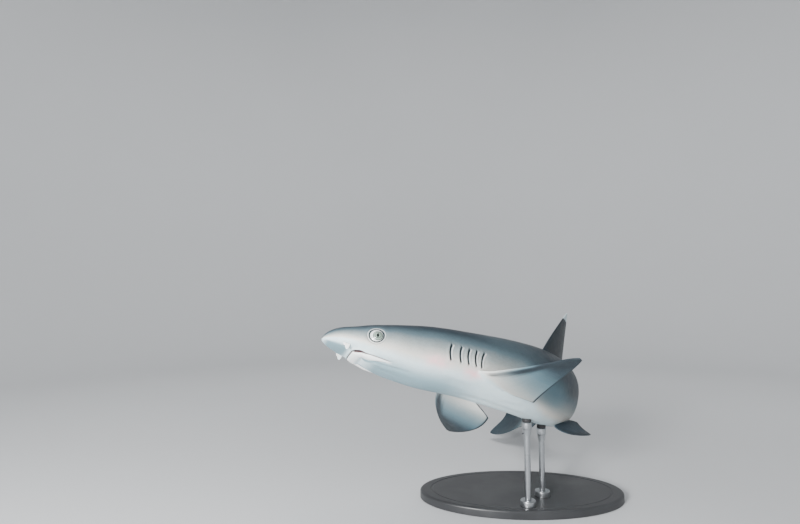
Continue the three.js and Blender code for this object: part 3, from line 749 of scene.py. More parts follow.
class Oval:
    """An oval laid on the skin: its middle, its long and short directions, and its outline."""

    def __init__(self, at, angle, long, tall, turn=0.0):
        self.middle = body_point(at, angle)
        along = body_point(at - 0.003, angle) - body_point(at + 0.003, angle)
        around = body_point(at, angle + 0.05) - body_point(at, angle - 0.05)
        along, around = along / np.linalg.norm(along), around / np.linalg.norm(around)
        self.long_way = along * math.cos(turn) + around * math.sin(turn)
        self.tall_way = around * math.cos(turn) - along * math.sin(turn)
        self.long, self.tall = long, tall
        turns = np.linspace(0, 2 * math.pi, 160, endpoint=False)[:, None]
        raw = self.middle + long * np.cos(turns) * self.long_way + tall * np.sin(turns) * self.tall_way
        raw[:, 1:] /= share_of_section(raw)[:, None]
        self.outline = raw

    def share(self, points):
        """How far out points lie: 0 at the middle, 1 on the outline."""
        off = points - self.middle
        share = np.hypot(off @ self.long_way / self.long, off @ self.tall_way / self.tall)
        depth = np.abs(off @ np.cross(self.long_way, self.tall_way))
        return np.where(depth < 0.02, share, 99.0)


def mouth_front_at(y, reach):
    """Where the mouth's front edge crosses under the snout, y to the left of the middle."""
    return MOUTH_FRONT - MOUTH_BOW * (1 - np.clip(y / reach, -1, 1) ** 2)


def lip_curve():
    """The line between the jaws, round under the snout from the left corner, and its shares."""
    share = np.linspace(0, 1, 150)
    at = MOUTH_FRONT + (LIP_LINE[-1][0] - MOUTH_FRONT) * share**2
    left = on_skin(-at * LENGTH, lip_height_at(at) * LENGTH, 1)
    reach = left[0, 1]
    y = np.linspace(reach, -reach, 62)[1:-1]
    at = mouth_front_at(y, reach)
    half, height, power = section_at(at, np.zeros(len(at), bool))
    z = -height * (1 - (np.abs(y) / half) ** (2 / power)) ** (power / 2)
    front = np.stack([-at * LENGTH, y, z], -1)
    curve = np.concatenate([left[::-1], front, left * (1, -1, 1)])
    return curve, np.concatenate([share[::-1], np.zeros(len(y)), share]), reach


def sculpt_mouth(clay, sizes):
    """The lips, the gap between them at the front, the full lower lip and the crease under it, with
    painted shade along the lips' line, in the gap and under the lower lip.
    """
    fullest = sizes.lip_fullness / MM
    curve, along, reach = lip_curve()
    clay.draw_in(curve, 8, 0.6)
    picked, distance, step = clay.near(curve, 26)
    points = clay.points[picked]
    lips = lip_height_at(-points[:, 0] / LENGTH) * LENGTH
    below = (points[:, 2] < lips) & (-points[:, 0] / LENGTH > mouth_front_at(points[:, 1], reach))
    along = along[step]
    front = ease(along, 0.06, 0.22) * (1 - ease(along, 0.40, 0.66))
    alive = 1 - ease(along, 0.9, 1.0)
    gap = 0.75 + 1.15 * front
    depth = 1.9 + 4.0 * front
    clay.push[picked] -= alive * depth * hill(distance, gap)
    upper = alive * 0.5 * fullest * hill(distance - 2.6, 2.2)
    width = 18 - 3 * ease(along, 0.2, 0.45) - 11 * ease(along, 0.55, 1)
    across = np.clip(distance / width, 0, 1)
    fullness = np.sin(math.pi * across**0.6) ** 0.55
    crease = 1.3 * hill(distance - width - 0.4, 1.7) * ease(along, 0.45, 0.65)
    full = fullest * (1 - 0.35 * ease(along, 0.3, 0.55)) * (1 - 0.4 * ease(along, 0.7, 1))
    lower = alive * (full * fullness - crease)
    clay.push[picked] += np.where(below, lower, upper)
    # Painted shade: dark along the line between the jaws, and in the gap at the front, reddish there from
    # the mouth's own colour.
    clay.mark("mouth", picked, alive * ease(gap * 1.35 - distance, 0, 0.6))
    clay.mark("gape", picked, alive * front * ease(gap * 1.2 - distance, 0, 0.6))
    white = alive * ease(0.9 + 0.3 * ease(along, 0.3, 0.5) - distance / width, 0, 0.25)
    clay.mark("lip", picked, np.where(below, white, 0))
    # Painted bluish shade under the full lower lip.
    under = ease(distance, width, width + 2) * (1 - ease(distance, width + 4, width + 14))
    under *= ease(along, 0.15, 0.4) * (1 - ease(along, 0.8, 1))
    clay.mark("jaw_shade", picked, np.where(below, under, 0))

    furrow_at, height = np.linspace(*FURROW, 30).T * LENGTH
    for way in (1, -1):
        furrow = on_skin(-furrow_at, height, way)
        picked, distance, _ = clay.near(furrow, 6)
        clay.push[picked] -= 0.6 * hill(distance, 1.3)


def eye_oval(sizes, way):
    """The opening between an eye's lids."""
    angle = on_side(math.radians(sizes.eye_angle), way)
    return Oval(sizes.eye_at, angle, sizes.eye_length / 2, sizes.eye_height / 2)


def sculpt_eyes(clay, sizes):
    """Each eye's socket, with thin lids round it in a shallow dish, under a low brow."""
    for way in (1, -1):
        oval = eye_oval(sizes, way)
        clay.draw_in(oval.outline, 6, 0.6)
        picked, _, _ = clay.near(oval.outline, 24)
        points = clay.points[picked]
        share = oval.share(points)
        outside = (share - 1) * (oval.long + oval.tall) / 2 / MM
        above = (points - oval.middle) @ oval.tall_way * way / MM
        dish = 0.9 * hill(outside - 1, 4.0)
        lid = 0.8 * hill(outside - 1.1, 0.8)
        fold = 0.5 * hill(outside - 4.1, 0.7) * (0.3 + 0.7 * ease(-above, -4, 9))
        socket = SOCKET_DEPTH * ease(-outside, -0.05, 0.9)
        brow = 0.9 * hill(outside - 7, 4) * ease(above, 2, 12)
        clay.push[picked] += lid + brow - dish - fold - socket
        rim = 1.9 + 0.6 * ease(-above, -2, 8)
        clay.mark("lid", picked, ease(rim - outside, 0, 0.6))
        # Painted shade along the fold below the eye.
        clay.mark("lid", picked, 0.6 * hill(outside - 4.1, 0.55) * ease(-above, -6, 6))
        clay.mark("lid_edge", picked, hill(outside - 3.1, 0.6))


def nostril_oval(sizes, way):
    angle = on_side(math.radians(sizes.nostril_angle), way)
    return Oval(
        sizes.nostril_at, angle, NOSTRIL_HALF_LENGTH, NOSTRIL_HALF_HEIGHT, turn=-way * NOSTRIL_TILT
    )


def sculpt_nostrils(clay, sizes):
    """Each nostril: a hollow with a low rim."""
    for way in (1, -1):
        oval = nostril_oval(sizes, way)
        clay.draw_in(oval.outline, 5, 0.6)
        picked, _, _ = clay.near(oval.outline, 12)
        share = oval.share(clay.points[picked])
        outside = (share - 1) * 4.2
        clay.push[picked] += 0.7 * hill(outside - 1.6, 1.6)
        clay.push[picked] -= NOSTRIL_DEPTH * ease(-outside, -0.4, 2.2)
        # Painted shade inside the nostril's hollow.
        clay.mark("nostril", picked, ease(-outside, -0.2, 1.4))


def gill_curve(at, sizes, way):
    """One gill slit on the skin, its middle bowed forward."""
    share = np.linspace(-1, 1, 60)
    z = share * sizes.gill_height / 2
    lean = LAST_GILL_LEAN * share if at == GILLS_AT[-1] else 0
    return on_skin(-at * LENGTH - GILL_BOW * share**2 - lean, z, way)


def sculpt_gills(clay, sizes):
    """Five slits a side: a flap's full edge in front of each, and a shallow hollow behind it, with
    painted shade in each slit and a painted highlight behind it.
    """
    for way in (1, -1):
        curves = [gill_curve(at, sizes, way) for at in GILLS_AT]
        for curve in curves:
            clay.draw_in(curve, 5, 0.5)
        for curve in curves:
            picked, distance, step = clay.near(curve, 13)
            ahead = clay.points[picked, 0] > curve[step, 0]
            alive = 1 - ease(np.abs(2 * step / (len(curve) - 1) - 1), 0.78, 1.0)
            flap = 0.9 * hill(distance - 2.6, 2.6)
            lip = 0.7 * hill(distance - 1.9, 1.0) - 0.5 * hill(distance - 5, 2.4)
            clay.push[picked] += alive * np.where(ahead, flap, lip)
            clay.push[picked] -= alive * GILL_DEPTH * hill(distance, 1.15)
            # Painted shade inside each slit.
            clay.mark("slit", picked, alive * ease(1.75 - distance, 0, 0.5))
            # Painted highlight: a pale line on the skin behind each slit, where light catches its rear
            # wall.
            pale = alive * ease(1.5 - np.abs(distance - 2.9), 0, 0.9)
            clay.mark("flap", picked, np.where(ahead, 0, pale))


def crease(clay, places, depth, width, ridge=0.35):
    """A soft fold along a line of (place, angle in degrees) on both sides of the body."""
    share, spots = np.linspace(0, 1, 80), np.linspace(0, 1, len(places))
    place, angle = (np.interp(share, spots, values) for values in zip(*places))
    for way in (1, -1):
        curve = body_point(place, on_side(np.radians(angle), way))
        picked, distance, step = clay.near(curve, width * 4)
        alive = ease(share[step], 0, 0.3) * (1 - ease(share[step], 0.7, 1))
        banks = ridge * hill(distance - 1.8 * width, width)
        clay.push[picked] += alive * depth * (banks - hill(distance, width))


FOLDS = (  # (place, angle in degrees) along each, its depth and its width in mm
    (((0.058, -68), (0.08, -62), (0.105, -57), (0.135, -55)), 1.2, 3.0),  # side of the throat
    (((0.07, -80), (0.10, -76), (0.14, -74)), 0.9, 3.0),  # under the throat
    (((0.16, -48), (0.19, -50), (0.222, -56)), 1.9, 4.5),  # below the gills and the pectoral fin
    (((0.175, -84), (0.23, -80), (0.29, -78), (0.355, -80)), 1.8, 5.5),  # along the middle of the belly
    (((0.252, -66), (0.275, -62), (0.305, -60)), 1.9, 4.5),  # behind the pectoral fin
    (((0.215, -14), (0.24, -16), (0.27, -22)), 0.8, 4.5),  # above the pectoral fin's root
)


def sculpt_folds(clay):
    """Soft folds of the throat and the belly, and about the pectoral fins."""
    for places, depth, width in FOLDS:
        crease(clay, places, depth, width)


def roundness_of(points):
    """How high each corner lies on its section: -1 on the belly, 0 at the middle, 1 on the back."""
    at = -points[:, 0] / LENGTH
    above = points[:, 2] > 0
    _, height, _ = section_at(np.minimum(at, TRUNK_END), above)
    tail = np.where(above, tail_top_at(at), -tail_bottom_at(at)) * LENGTH
    height = np.where(at > TAIL_FIN_START, np.abs(tail), height)
    return np.clip(points[:, 2] / np.maximum(height, 1e-4), -1, 1)


def shape_skin(skin, sizes):
    """Sculpts the straight skin, stores what its material reads, and lays it along the spine."""
    mesh = skin.data
    clay = Clay(mesh)
    sculpt_mouth(clay, sizes)
    sculpt_eyes(clay, sizes)
    sculpt_nostrils(clay, sizes)
    sculpt_gills(clay, sizes)
    sculpt_folds(clay)
    write_attribute(mesh, "straight", clay.points)
    write_attribute(mesh, "fin", np.clip(clay.fin, 0, 1))
    paint_skin(mesh, clay)
    clay.settle()
    for name, mask in clay.masks.items():
        write_attribute(mesh, name, np.clip(mask, 0, 1))

    laid = lay_along_spine(clay.points)
    span = read_attribute(mesh, "span")
    for name, fin, _ in FINS:
        if "way" in fin:
            stiff = carry_stiffly(clay.points, fin["at"] + fin["base"] / 2)
            share = (read_attribute(mesh, name) * ease(span, 0, 0.15))[:, None]
            laid = laid * (1 - share) + stiff * share
    write_points(mesh, laid)


# ------------------------------------------------------------------ colours and shader nodes


def tint(red, green, blue):
    """A colour as given on a screen, from 0 to 255, as the linear one that a shader takes."""
    parts = (c / 255 for c in (red, green, blue))
    return tuple(c / 12.92 if c <= 0.04045 else ((c + 0.055) / 1.055) ** 2.4 for c in parts)


class Nodes:
    """Adds the nodes of one material or group, one call a node, and returns their outputs."""

    def __init__(self, tree):
        self.tree = tree

    def add(self, kind, inputs=None, **settings):
        node = self.tree.nodes.new("ShaderNode" + kind)
        for key, value in settings.items():
            setattr(node, key, value)
        self.fill(node, inputs or {})
        return node

    def fill(self, node, inputs):
        for key, value in inputs.items():
            self.put(node.inputs[key], value)

    def put(self, socket, value):
        if isinstance(value, bpy.types.NodeSocket):
            self.tree.links.new(value, socket)
        elif socket.type == "RGBA" and len(value) == 3:
            socket.default_value = (*value, 1)
        else:
            socket.default_value = value

    def read(self, name, vector=False):
        node = self.add("Attribute", attribute_name=name)
        return node.outputs["Vector" if vector else "Fac"]

    def object_place(self):
        return self.add("TexCoord").outputs["Object"]

    def math(self, operation, first, second=0.0, third=None):
        inputs = {0: first, 1: second}
        if third is not None:
            inputs[2] = third
        return self.add("Math", inputs, operation=operation).outputs[0]

    def times(self, *factors):
        product = factors[0]
        for factor in factors[1:]:
            product = self.math("MULTIPLY", product, factor)
        return product

    def sway(self, value, amount, base):
        """Moves the base by an amount, up or down as the value is above or below a half."""
        return self.math("MULTIPLY_ADD", self.math("SUBTRACT", value, 0.5), amount, base)

    def step(self, value, start, end, low=0.0, high=1.0):
        """Eases from low to high as the value goes from start to end."""
        inputs = {"Value": value, "From Min": start, "From Max": end, "To Min": low, "To Max": high}
        return self.add("MapRange", inputs, interpolation_type="SMOOTHSTEP").outputs[0]

    def mix(self, share, first, second, blend="MIX"):
        node = self.add("Mix", data_type="RGBA", blend_type=blend)
        sockets = [s for s in node.inputs if s.enabled]
        for socket, value in zip(sockets, (share, first, second)):
            self.put(socket, value)
        return next(s for s in node.outputs if s.enabled)

    def ramp(self, share, *stops):
        node = self.add("ValToRGB", {"Fac": share})
        elements = node.color_ramp.elements
        for _ in stops[2:]:
            elements.new(0.5)
        for element, (place, colour) in zip(elements, stops):
            element.position = place
            element.color = (*colour, 1)
        return node.outputs["Color"]

    def noise(self, vector, scale, detail=2.0, roughness=0.5):
        inputs = {"Vector": vector, "Scale": scale, "Detail": detail, "Roughness": roughness}
        return self.add("TexNoise", inputs).outputs["Fac"]

    def cells(self, vector, scale):
        return self.add("TexVoronoi", {"Vector": vector, "Scale": scale}).outputs["Distance"]

    def stretched(self, vector, *scale):
        return self.add("Mapping", {"Vector": vector, "Scale": scale}).outputs["Vector"]

    def bump(self, height, distance, strength=1.0, normal=None):
        inputs = {"Height": height, "Distance": distance, "Strength": strength}
        if normal is not None:
            inputs["Normal"] = normal
        return self.add("Bump", inputs).outputs["Normal"]


def new_material(name):
    """A new material: its nodes, and its Principled shader."""
    material = bpy.data.materials.new(name)
    material.use_nodes = True
    return material, Nodes(material.node_tree), material.node_tree.nodes["Principled BSDF"]


def new_group(name, inputs, outputs):
    """A new shader node group with named sockets."""
    group = bpy.data.node_groups.new(name, "ShaderNodeTree")
    for way, sockets in (("INPUT", inputs), ("OUTPUT", outputs)):
        for socket, kind in sockets:
            group.interface.new_socket(name=socket, in_out=way, socket_type="NodeSocket" + kind)
    nodes = Nodes(group)
    start = group.nodes.new("NodeGroupInput")
    end = group.nodes.new("NodeGroupOutput")
    return group, nodes, start.outputs, end.inputs


def cloudy_group():
    """Three sizes of soft clouding in one, from 0 to 1, for anything painted or living."""
    group, nodes, given, made = new_group(
        "Cloudy",
        (("Vector", "Vector"), ("Scale", "Float"), ("Contrast", "Float")),
        (("Cloud", "Float"),),
    )
    cloud = nodes.noise(given["Vector"], given["Scale"], 4.0, 0.58)
    nodes.put(made["Cloud"], nodes.sway(cloud, given["Contrast"], 0.5))
    return group


def denticle_group():
    """The fine tooth of a shark's skin: a height, and a slight painted shade in its hollows."""
    group, nodes, given, made = new_group(
        "Denticles",
        (("Vector", "Vector"), ("Size", "Float")),
        (("Height", "Float"), ("Shade", "Float")),
    )
    along = nodes.stretched(given["Vector"], 0.6, 1.0, 1.0)
    scale = nodes.math("DIVIDE", 1.0, given["Size"])
    grit = nodes.noise(along, nodes.math("MULTIPLY", scale, 0.45), 3.0, 0.6)
    height = nodes.math("MULTIPLY_ADD", nodes.cells(along, scale), -0.6, grit)
    nodes.put(made["Height"], height)
    # Painted shade: darker in the hollows, slightly lighter on the tops.
    nodes.put(made["Shade"], nodes.step(height, -0.25, 0.45, 0.9, 1.04))
    return group


SHARED_GROUPS = {"Cloudy": cloudy_group, "Denticles": denticle_group}


def use_group(nodes, name, **inputs):
    """Places a shared group in a material, building it the first time that it is asked for."""
    node = nodes.add("Group", node_tree=bpy.data.node_groups.get(name) or SHARED_GROUPS[name]())
    nodes.fill(node, inputs)
    return node.outputs


def clouds(nodes, place, scale, contrast):
    """The shared soft clouding at one scale."""
    return use_group(nodes, "Cloudy", Vector=place, Scale=scale, Contrast=contrast)["Cloud"]


# ------------------------------------------------------------------ the skin's colouring


# The pink patches: place, height, length and tallness.
BLUSH_PATCHES = ((0.151, -0.016, 17 * MM, 9 * MM), (0.1995, -0.021, 15 * MM, 7 * MM))


def paint_skin(mesh, clay):
    """Stores each corner's tone, with painted shade at the rear and a painted highlight on the snout, its
    painted bluish shade, blush, white tips and dusky edges.
    """
    at = clay.at
    points = clay.points
    height = roundness_of(points)
    span, chord, side = (read_attribute(mesh, key) for key in ("span", "chord", "side"))
    # loins darkens the rear body: partly its own grey, partly painted shade.
    neck, shoulder, loins = ease(at, 0.04, 0.16), ease(at, 0.16, 0.27), ease(at, 0.27, 0.36)
    # The 0.28 term keeps the snout's side lighter: a painted highlight.
    low = -0.22 - 0.28 * ease(at, 0.02, 0.06) - 0.10 * neck + 0.05 * shoulder - 0.40 * loins
    high = 0.80 - 0.05 * neck - 0.25 * shoulder - 0.55 * loins
    tone = np.clip((height - low) / (high - low), 0, 1)
    tone *= 1 - 0.14 * shoulder * (1 - loins)
    # Painted shade, partly its own grey: darker towards the tail above the belly, and the tail fin near
    # its darkest.
    tone = np.maximum(tone, 0.78 * ease(at, 0.5, 0.7) * ease(height, -0.95, -0.3))
    tone = np.maximum(tone, 0.95 * ease(at, 0.74, 0.80))
    white, dusk_and_shade, shade, blush = np.zeros((4, len(at)))
    for name, fin, _ in FINS:
        share = read_attribute(mesh, name) * ease(span, 0.0, 0.12)
        if "way" in fin:
            # Pelvic fins dark on both faces: partly their own grey, partly painted shade.
            fin_tone = np.where(side > 0, 1.0, 0.85)
            if "pectoral" in name:
                fin_tone = np.where(side > 0, 0.86, 0.22 + 0.74 * ease(span, 0.1, 0.75))
                # Painted shade on each pectoral fin's underside near its root.
                inner = 0.62 * ease(span, 0.0, 0.35) * (1 - ease(span, 0.45, 0.75))
                shade = np.maximum(shade, share * (side < 0) * inner)
            edge = ease(0.045 - (1 - chord), 0, 0.03) + 0.6 * hill(chord - 0.07, 0.06)
            tip = ease(span + 0.22 * (0.5 - chord), 0.55, 0.95)
            band = 0.5 * hill(chord - 0.13, 0.10) * ease(span, 0.15, 0.5)
            dusk_and_shade += share * np.clip(np.maximum(tip, band) + edge * ease(span, 0.0, 0.06), 0, 1)
        else:
            # Dorsal and anal fins at the darkest tone and mostly dusky: partly their own grey-brown,
            # partly painted shade.
            fin_tone = 1.0
            dusk_and_shade += share * (0.8 + 0.2 * hill(1 - chord, 0.05))
        tone = tone * (1 - share) + fin_tone * share
    white += read_attribute(mesh, "first_dorsal") * ease(span, 0.79, 0.86)
    white += ease(at, 0.952, 0.968) * (at > 0.9)
    for place, up, long, tall in BLUSH_PATCHES:
        off = np.hypot((at - place) * LENGTH / long, (points[:, 2] - up * LENGTH) / tall)
        blush = np.maximum(blush, np.exp(-off**2) * (clay.fin < 0.1))
    # Painted shade: bluish darkening under the snout and under the throat.
    under = (1 - ease(height, -0.92, -0.62))
    under *= ease(at, 0.003, 0.012) * (1 - ease(at, 0.033, 0.041))
    throat = 0.95 * (1 - ease(height, -0.95, -0.5))
    throat *= ease(at, 0.06, 0.08) * (1 - ease(at, 0.16, 0.25))
    # Painted shadow of the pectoral fin on the flank behind it.
    flank = 0.75 * ease(at, 0.258, 0.29) * ease(height, -0.8, -0.45) * (1 - ease(at, 0.36, 0.42))
    flank *= 1 - ease(height, -0.15, 0.35)
    under = np.maximum(np.maximum(under, throat), flank) * (1 - np.clip(clay.fin / 0.3, 0, 1))
    shade = np.maximum(under, shade)
    masks = {"tone": tone, "shade": shade, "white_tip": white, "dusk_and_shade": dusk_and_shade, "blush": blush}
    for name, mask in masks.items():
        write_attribute(mesh, name, np.clip(mask, 0, 1))


def skin_material(colours):
    """The skin: dark back to white belly, soft clouding, fin markings, lips, lids and slits, with painted
    shade and highlights.
    """
    material, nodes, shader = new_material("shark skin")
    place = nodes.read("straight", vector=True)
    broad, close = clouds(nodes, place, 11.0, 1.5), clouds(nodes, place, 75.0, 1.6)
    tooth = use_group(nodes, "Denticles", Vector=place, Size=0.0016)

    both = nodes.math("ADD", nodes.times(broad, 0.62), nodes.times(close, 0.38))
    tone = nodes.sway(both, 0.20, nodes.read("tone"))
    colour = nodes.ramp(
        tone,
        (0.0, colours.belly), (0.2, colours.low_flank), (0.48, colours.flank),
        (0.74, colours.shoulder), (1.0, colours.back),
    )
    # The skin's mottling, times painted shade in the denticles' hollows.
    mottle_and_shade = nodes.times(nodes.step(close, 0.2, 0.8, 0.90, 1.07), tooth["Shade"])
    grey = nodes.add("CombineColor", {0: mottle_and_shade, 1: mottle_and_shade, 2: mottle_and_shade}).outputs[0]
    speckled_and_shaded = nodes.mix(1.0, colour, grey, "MULTIPLY")
    colour = nodes.mix(nodes.step(tone, 0.0, 0.6, 0.35, 1.0), colour, speckled_and_shaded)
    blush = nodes.times(nodes.read("blush"), nodes.step(close, 0.25, 0.65, 0.5, 1.0))
    colour = nodes.mix(blush, colour, colours.blush)
    # Painted bluish shade: under the head and jaw, behind the pectoral fins and on their undersides.
    shaded = nodes.math("MAXIMUM", nodes.read("jaw_shade"), nodes.read("shade"))
    colour = nodes.mix(nodes.times(shaded, 0.85), colour, colours.shade)

    sparse = nodes.step(nodes.noise(place, 14.0, 1.0), 0.56, 0.60)
    spots = nodes.step(nodes.cells(place, 17.0), 0.075, 0.045)
    spots = nodes.times(spots, sparse, nodes.step(tone, 0.2, 0.5), 0.45)
    colour = nodes.mix(spots, colour, colours.spot)
    x = nodes.add("SeparateXYZ", {0: place}).outputs[0]
    pores = nodes.step(nodes.cells(place, 260.0), 0.17, 0.09)
    patches = nodes.step(nodes.noise(place, 55.0, 1.0), 0.45, 0.6)
    pores = nodes.times(pores, nodes.step(x, -0.085, -0.045), patches, 0.30)
    colour = nodes.mix(pores, colour, colours.spot)

    span = nodes.read("span")
    rays_at = nodes.add("CombineXYZ", {0: nodes.read("chord"), 1: nodes.times(span, 0.35)}).outputs[0]
    rays = nodes.noise(nodes.stretched(rays_at, 46.0, 2.2, 1.0), 1.0, 3.0, 0.65)
    ray = nodes.times(nodes.step(rays, 0.4, 0.7), nodes.read("fin"), nodes.step(span, 0.05, 0.35))
    # Dusky fin edges and tips, and painted shade over the dorsal and anal fins.
    dusk_and_shade = nodes.step(nodes.sway(rays, 0.5, nodes.read("dusk_and_shade")), 0.1, 0.8)
    colour = nodes.mix(nodes.times(dusk_and_shade, nodes.read("fin")), colour, colours.dusk_and_shade)
    colour = nodes.mix(nodes.times(ray, 0.10), colour, colours.shoulder)
    tip_edge = nodes.step(nodes.sway(both, 0.5, nodes.read("white_tip")), 0.4, 0.6)
    colour = nodes.mix(tip_edge, colour, colours.belly)

    # Painted shade: mouth, gape, nostril and slit darken the line between the jaws, the mouth's gap, the
    # nostrils and the gill slits.
    for mask, strength, own in (
        # flap paints a pale highlight behind each gill slit.
        ("lip", 0.95, colours.lip), ("flap", 0.8, colours.lip), ("lid_edge", 0.6, colours.lip),
        ("mouth", 0.85, colours.lip_line), ("gape", 1.0, colours.mouth), ("lid", 0.96, colours.lid),
        ("nostril", 1.0, colours.lid), ("slit", 0.95, colours.slit),
    ):
        colour = nodes.mix(nodes.times(nodes.read(mask), strength), colour, own)

    folds = nodes.noise(nodes.stretched(place, 0.5, 1.0, 1.0), 38.0, 3.0, 0.55)
    normal = nodes.bump(folds, 0.0016, 0.5)
    normal = nodes.bump(ray, 0.0002, 0.4, normal)
    normal = nodes.bump(tooth["Height"], 0.00022, 0.55, normal)
    rough = nodes.math("MULTIPLY_ADD", close, 0.16, 0.36)
    nodes.fill(shader, {"Base Color": colour, "Roughness": rough, "Normal": normal})
    shader.inputs["Specular IOR Level"].default_value = 0.22
    shader.inputs["Subsurface Weight"].default_value = 0.08
    shader.inputs["Subsurface Radius"].default_value = (1.0, 0.6, 0.45)
    shader.inputs["Subsurface Scale"].default_value = 0.004
    return material


def eye_material(colours):
    """The eye: white, a ringed grey-green iris with a dark rim, and an upright slit pupil."""
    material, nodes, shader = new_material("shark eye")
    gaze = nodes.read("gaze", vector=True)
    x, _, z = nodes.add("SeparateXYZ", {0: gaze}).outputs
    out = nodes.math("POWER", nodes.math("ADD", nodes.times(x, x), nodes.times(z, z)), 0.5)
    angle = nodes.math("ARCTAN2", z, x)
    spokes_at = nodes.add("CombineXYZ", {0: nodes.times(angle, 5.0), 1: nodes.times(out, 1.6)}).outputs[0]
    spokes = nodes.noise(spokes_at, 2.2, 4.0, 0.6)
    wavy = nodes.sway(spokes, 0.35, out)
    rings = nodes.step(nodes.math("SINE", nodes.times(wavy, 2.35)), -0.7, 0.7)
    iris = nodes.mix(rings, colours.iris_dark, colours.iris_pale)
    iris = nodes.mix(nodes.step(spokes, 0.3, 0.75, 0.0, 0.45), iris, colours.iris_pale)
    rim = nodes.step(out, IRIS_RADIUS - 1.2, IRIS_RADIUS - 0.2, 0.0, 0.75)
    iris = nodes.mix(rim, iris, colours.lid)
    veins = nodes.step(nodes.noise(gaze, 0.5, 3.0), 0.35, 0.7, 0.0, 0.4)
    white = nodes.mix(veins, colours.eye_white, colours.iris_pale)
    colour = nodes.mix(nodes.step(out, IRIS_RADIUS - 0.3, IRIS_RADIUS + 0.3), iris, white)
    tall = nodes.math("SUBTRACT", 1.0, nodes.times(z, z, 1 / PUPIL_HALF_HEIGHT**2))
    width = nodes.times(nodes.math("MAXIMUM", tall, 0.0), PUPIL_HALF_WIDTH)
    pupil = nodes.step(nodes.math("SUBTRACT", nodes.math("ABSOLUTE", x), width), 0.12, -0.12)
    ends = nodes.step(nodes.math("ABSOLUTE", z), PUPIL_HALF_HEIGHT + 0.1, PUPIL_HALF_HEIGHT - 0.3)
    nodes.fill(shader, {
        "Base Color": nodes.mix(nodes.times(pupil, ends), colour, colours.pupil),
        "Roughness": nodes.step(spokes, 0.2, 0.8, 0.22, 0.36),
        "Normal": nodes.bump(nodes.times(spokes, nodes.step(out, 9.0, 8.0)), 0.0003, 0.5),
    })
    shader.inputs["Specular IOR Level"].default_value = 0.2
    shader.inputs["Coat Weight"].default_value = 0.6
    shader.inputs["Coat Roughness"].default_value = 0.04
    return material


def flap_material(colours):
    """The nasal flaps: pale skin, greyer towards the root."""
    material, nodes, shader = new_material("nasal flap skin")
    cloud = clouds(nodes, nodes.object_place(), 260.0, 1.4)
    share = nodes.step(nodes.sway(cloud, 0.4, nodes.read("root")), 0.6, 1.4)
    nodes.fill(shader, {
        "Base Color": nodes.mix(share, colours.lip, colours.flank),
        "Roughness": nodes.step(cloud, 0.2, 0.8, 0.4, 0.55),
        "Normal": nodes.bump(cloud, 0.0003, 0.5),
    })
    shader.inputs["Subsurface Weight"].default_value = 0.1
    shader.inputs["Subsurface Scale"].default_value = 0.003
    return material


def coated_material(name, colours, patches, fade, rough, grain):
    """An even coat: two near colours in soft patches, and a fine raised grain."""
    material, nodes, shader = new_material(name)
    place = nodes.object_place()
    haze = clouds(nodes, place, *patches)
    grain_scale, grain_height = grain
    nodes.fill(shader, {
        "Base Color": nodes.mix(nodes.step(haze, *fade), *colours),
        "Roughness": nodes.step(haze, 0.2, 0.8, *rough),
        "Normal": nodes.bump(nodes.noise(place, grain_scale), grain_height, 0.5),
    })
    return material


def painted_material(name, colour):
    """Satin paint on the stand's base: even, with a faint spray texture and soft wear."""
    lighter = tuple(min(1.0, 1.6 * c + 0.01) for c in colour)
    fade = (0.2, 0.9, 0.0, 0.5)
    return coated_material(name, (colour, lighter), (9.0, 1.6), fade, (0.34, 0.50), (900.0, 0.00006))


def rubber_material(name):
    """Soft dark rubber for the pads under the belly."""
    greys = tint(34, 34, 36), tint(62, 62, 64)
    return coated_material(name, greys, (120.0, 1.5), (0.35, 0.9), (0.68, 0.85), (700.0, 0.0001))


def brushed_material(name, colour):
    """Brushed steel for the rods and collars, its brush lines running round them."""
    material, nodes, shader = new_material(name)
    place = nodes.object_place()
    lines = nodes.noise(nodes.stretched(place, 60.0, 60.0, 2600.0), 1.0, 3.0, 0.6)
    smears = nodes.times(clouds(nodes, place, 30.0, 1.4), 0.06)
    darker = tuple(0.86 * c for c in colour)
    nodes.fill(shader, {
        "Base Color": nodes.mix(nodes.step(lines, 0.3, 0.7), darker, colour),
        "Roughness": nodes.math("ADD", nodes.step(lines, 0.25, 0.75, 0.24, 0.32), smears),
        "Metallic": 1.0,
        "Normal": nodes.bump(lines, 0.00004, 0.6),
    })
    return material


# ------------------------------------------------------------------ the eyes


def model_eye(name, sizes, way):
    """An eyeball with a slight bulge over its iris, turned outwards and laid in its socket."""
    deselect_all()
    bpy.ops.mesh.primitive_uv_sphere_add(segments=64, ring_count=48, radius=1.0)
    eye = begin(name)
    bpy.ops.transform.rotate(value=math.pi / 2, orient_axis="X", center_override=(0, 0, 0))
    bpy.ops.object.mode_set(mode="OBJECT")
    points = read_points(eye.data)
    ball = points * (sizes.eye_length / 2 + 2.0 * MM, sizes.eye_depth, sizes.eye_height / 2 + 2.0 * MM)
    gaze = ball / MM + (IRIS_REARWARD, 0, IRIS_DOWNWARD)
    out = np.hypot(gaze[:, 0], gaze[:, 2])
    facing = points[:, 1] > 0
    ball[:, 1] += np.where(facing, 0.8 * MM * (1 - ease(out, IRIS_RADIUS * 0.5, IRIS_RADIUS * 1.15)), 0)
    oval = eye_oval(sizes, 1)
    outward = np.cross(oval.tall_way, oval.long_way)
    ball[:, 1] -= sizes.eye_depth - sizes.eye_sink
    turned = oval.middle + ball @ np.array((oval.long_way, outward, oval.tall_way))
    turned[:, 1] *= way
    write_attribute(eye.data, "gaze", gaze)
    write_points(eye.data, lay_along_spine(turned))
    if way < 0:
        flip_faces(eye)
    eye.data.shade_smooth()
    return eye


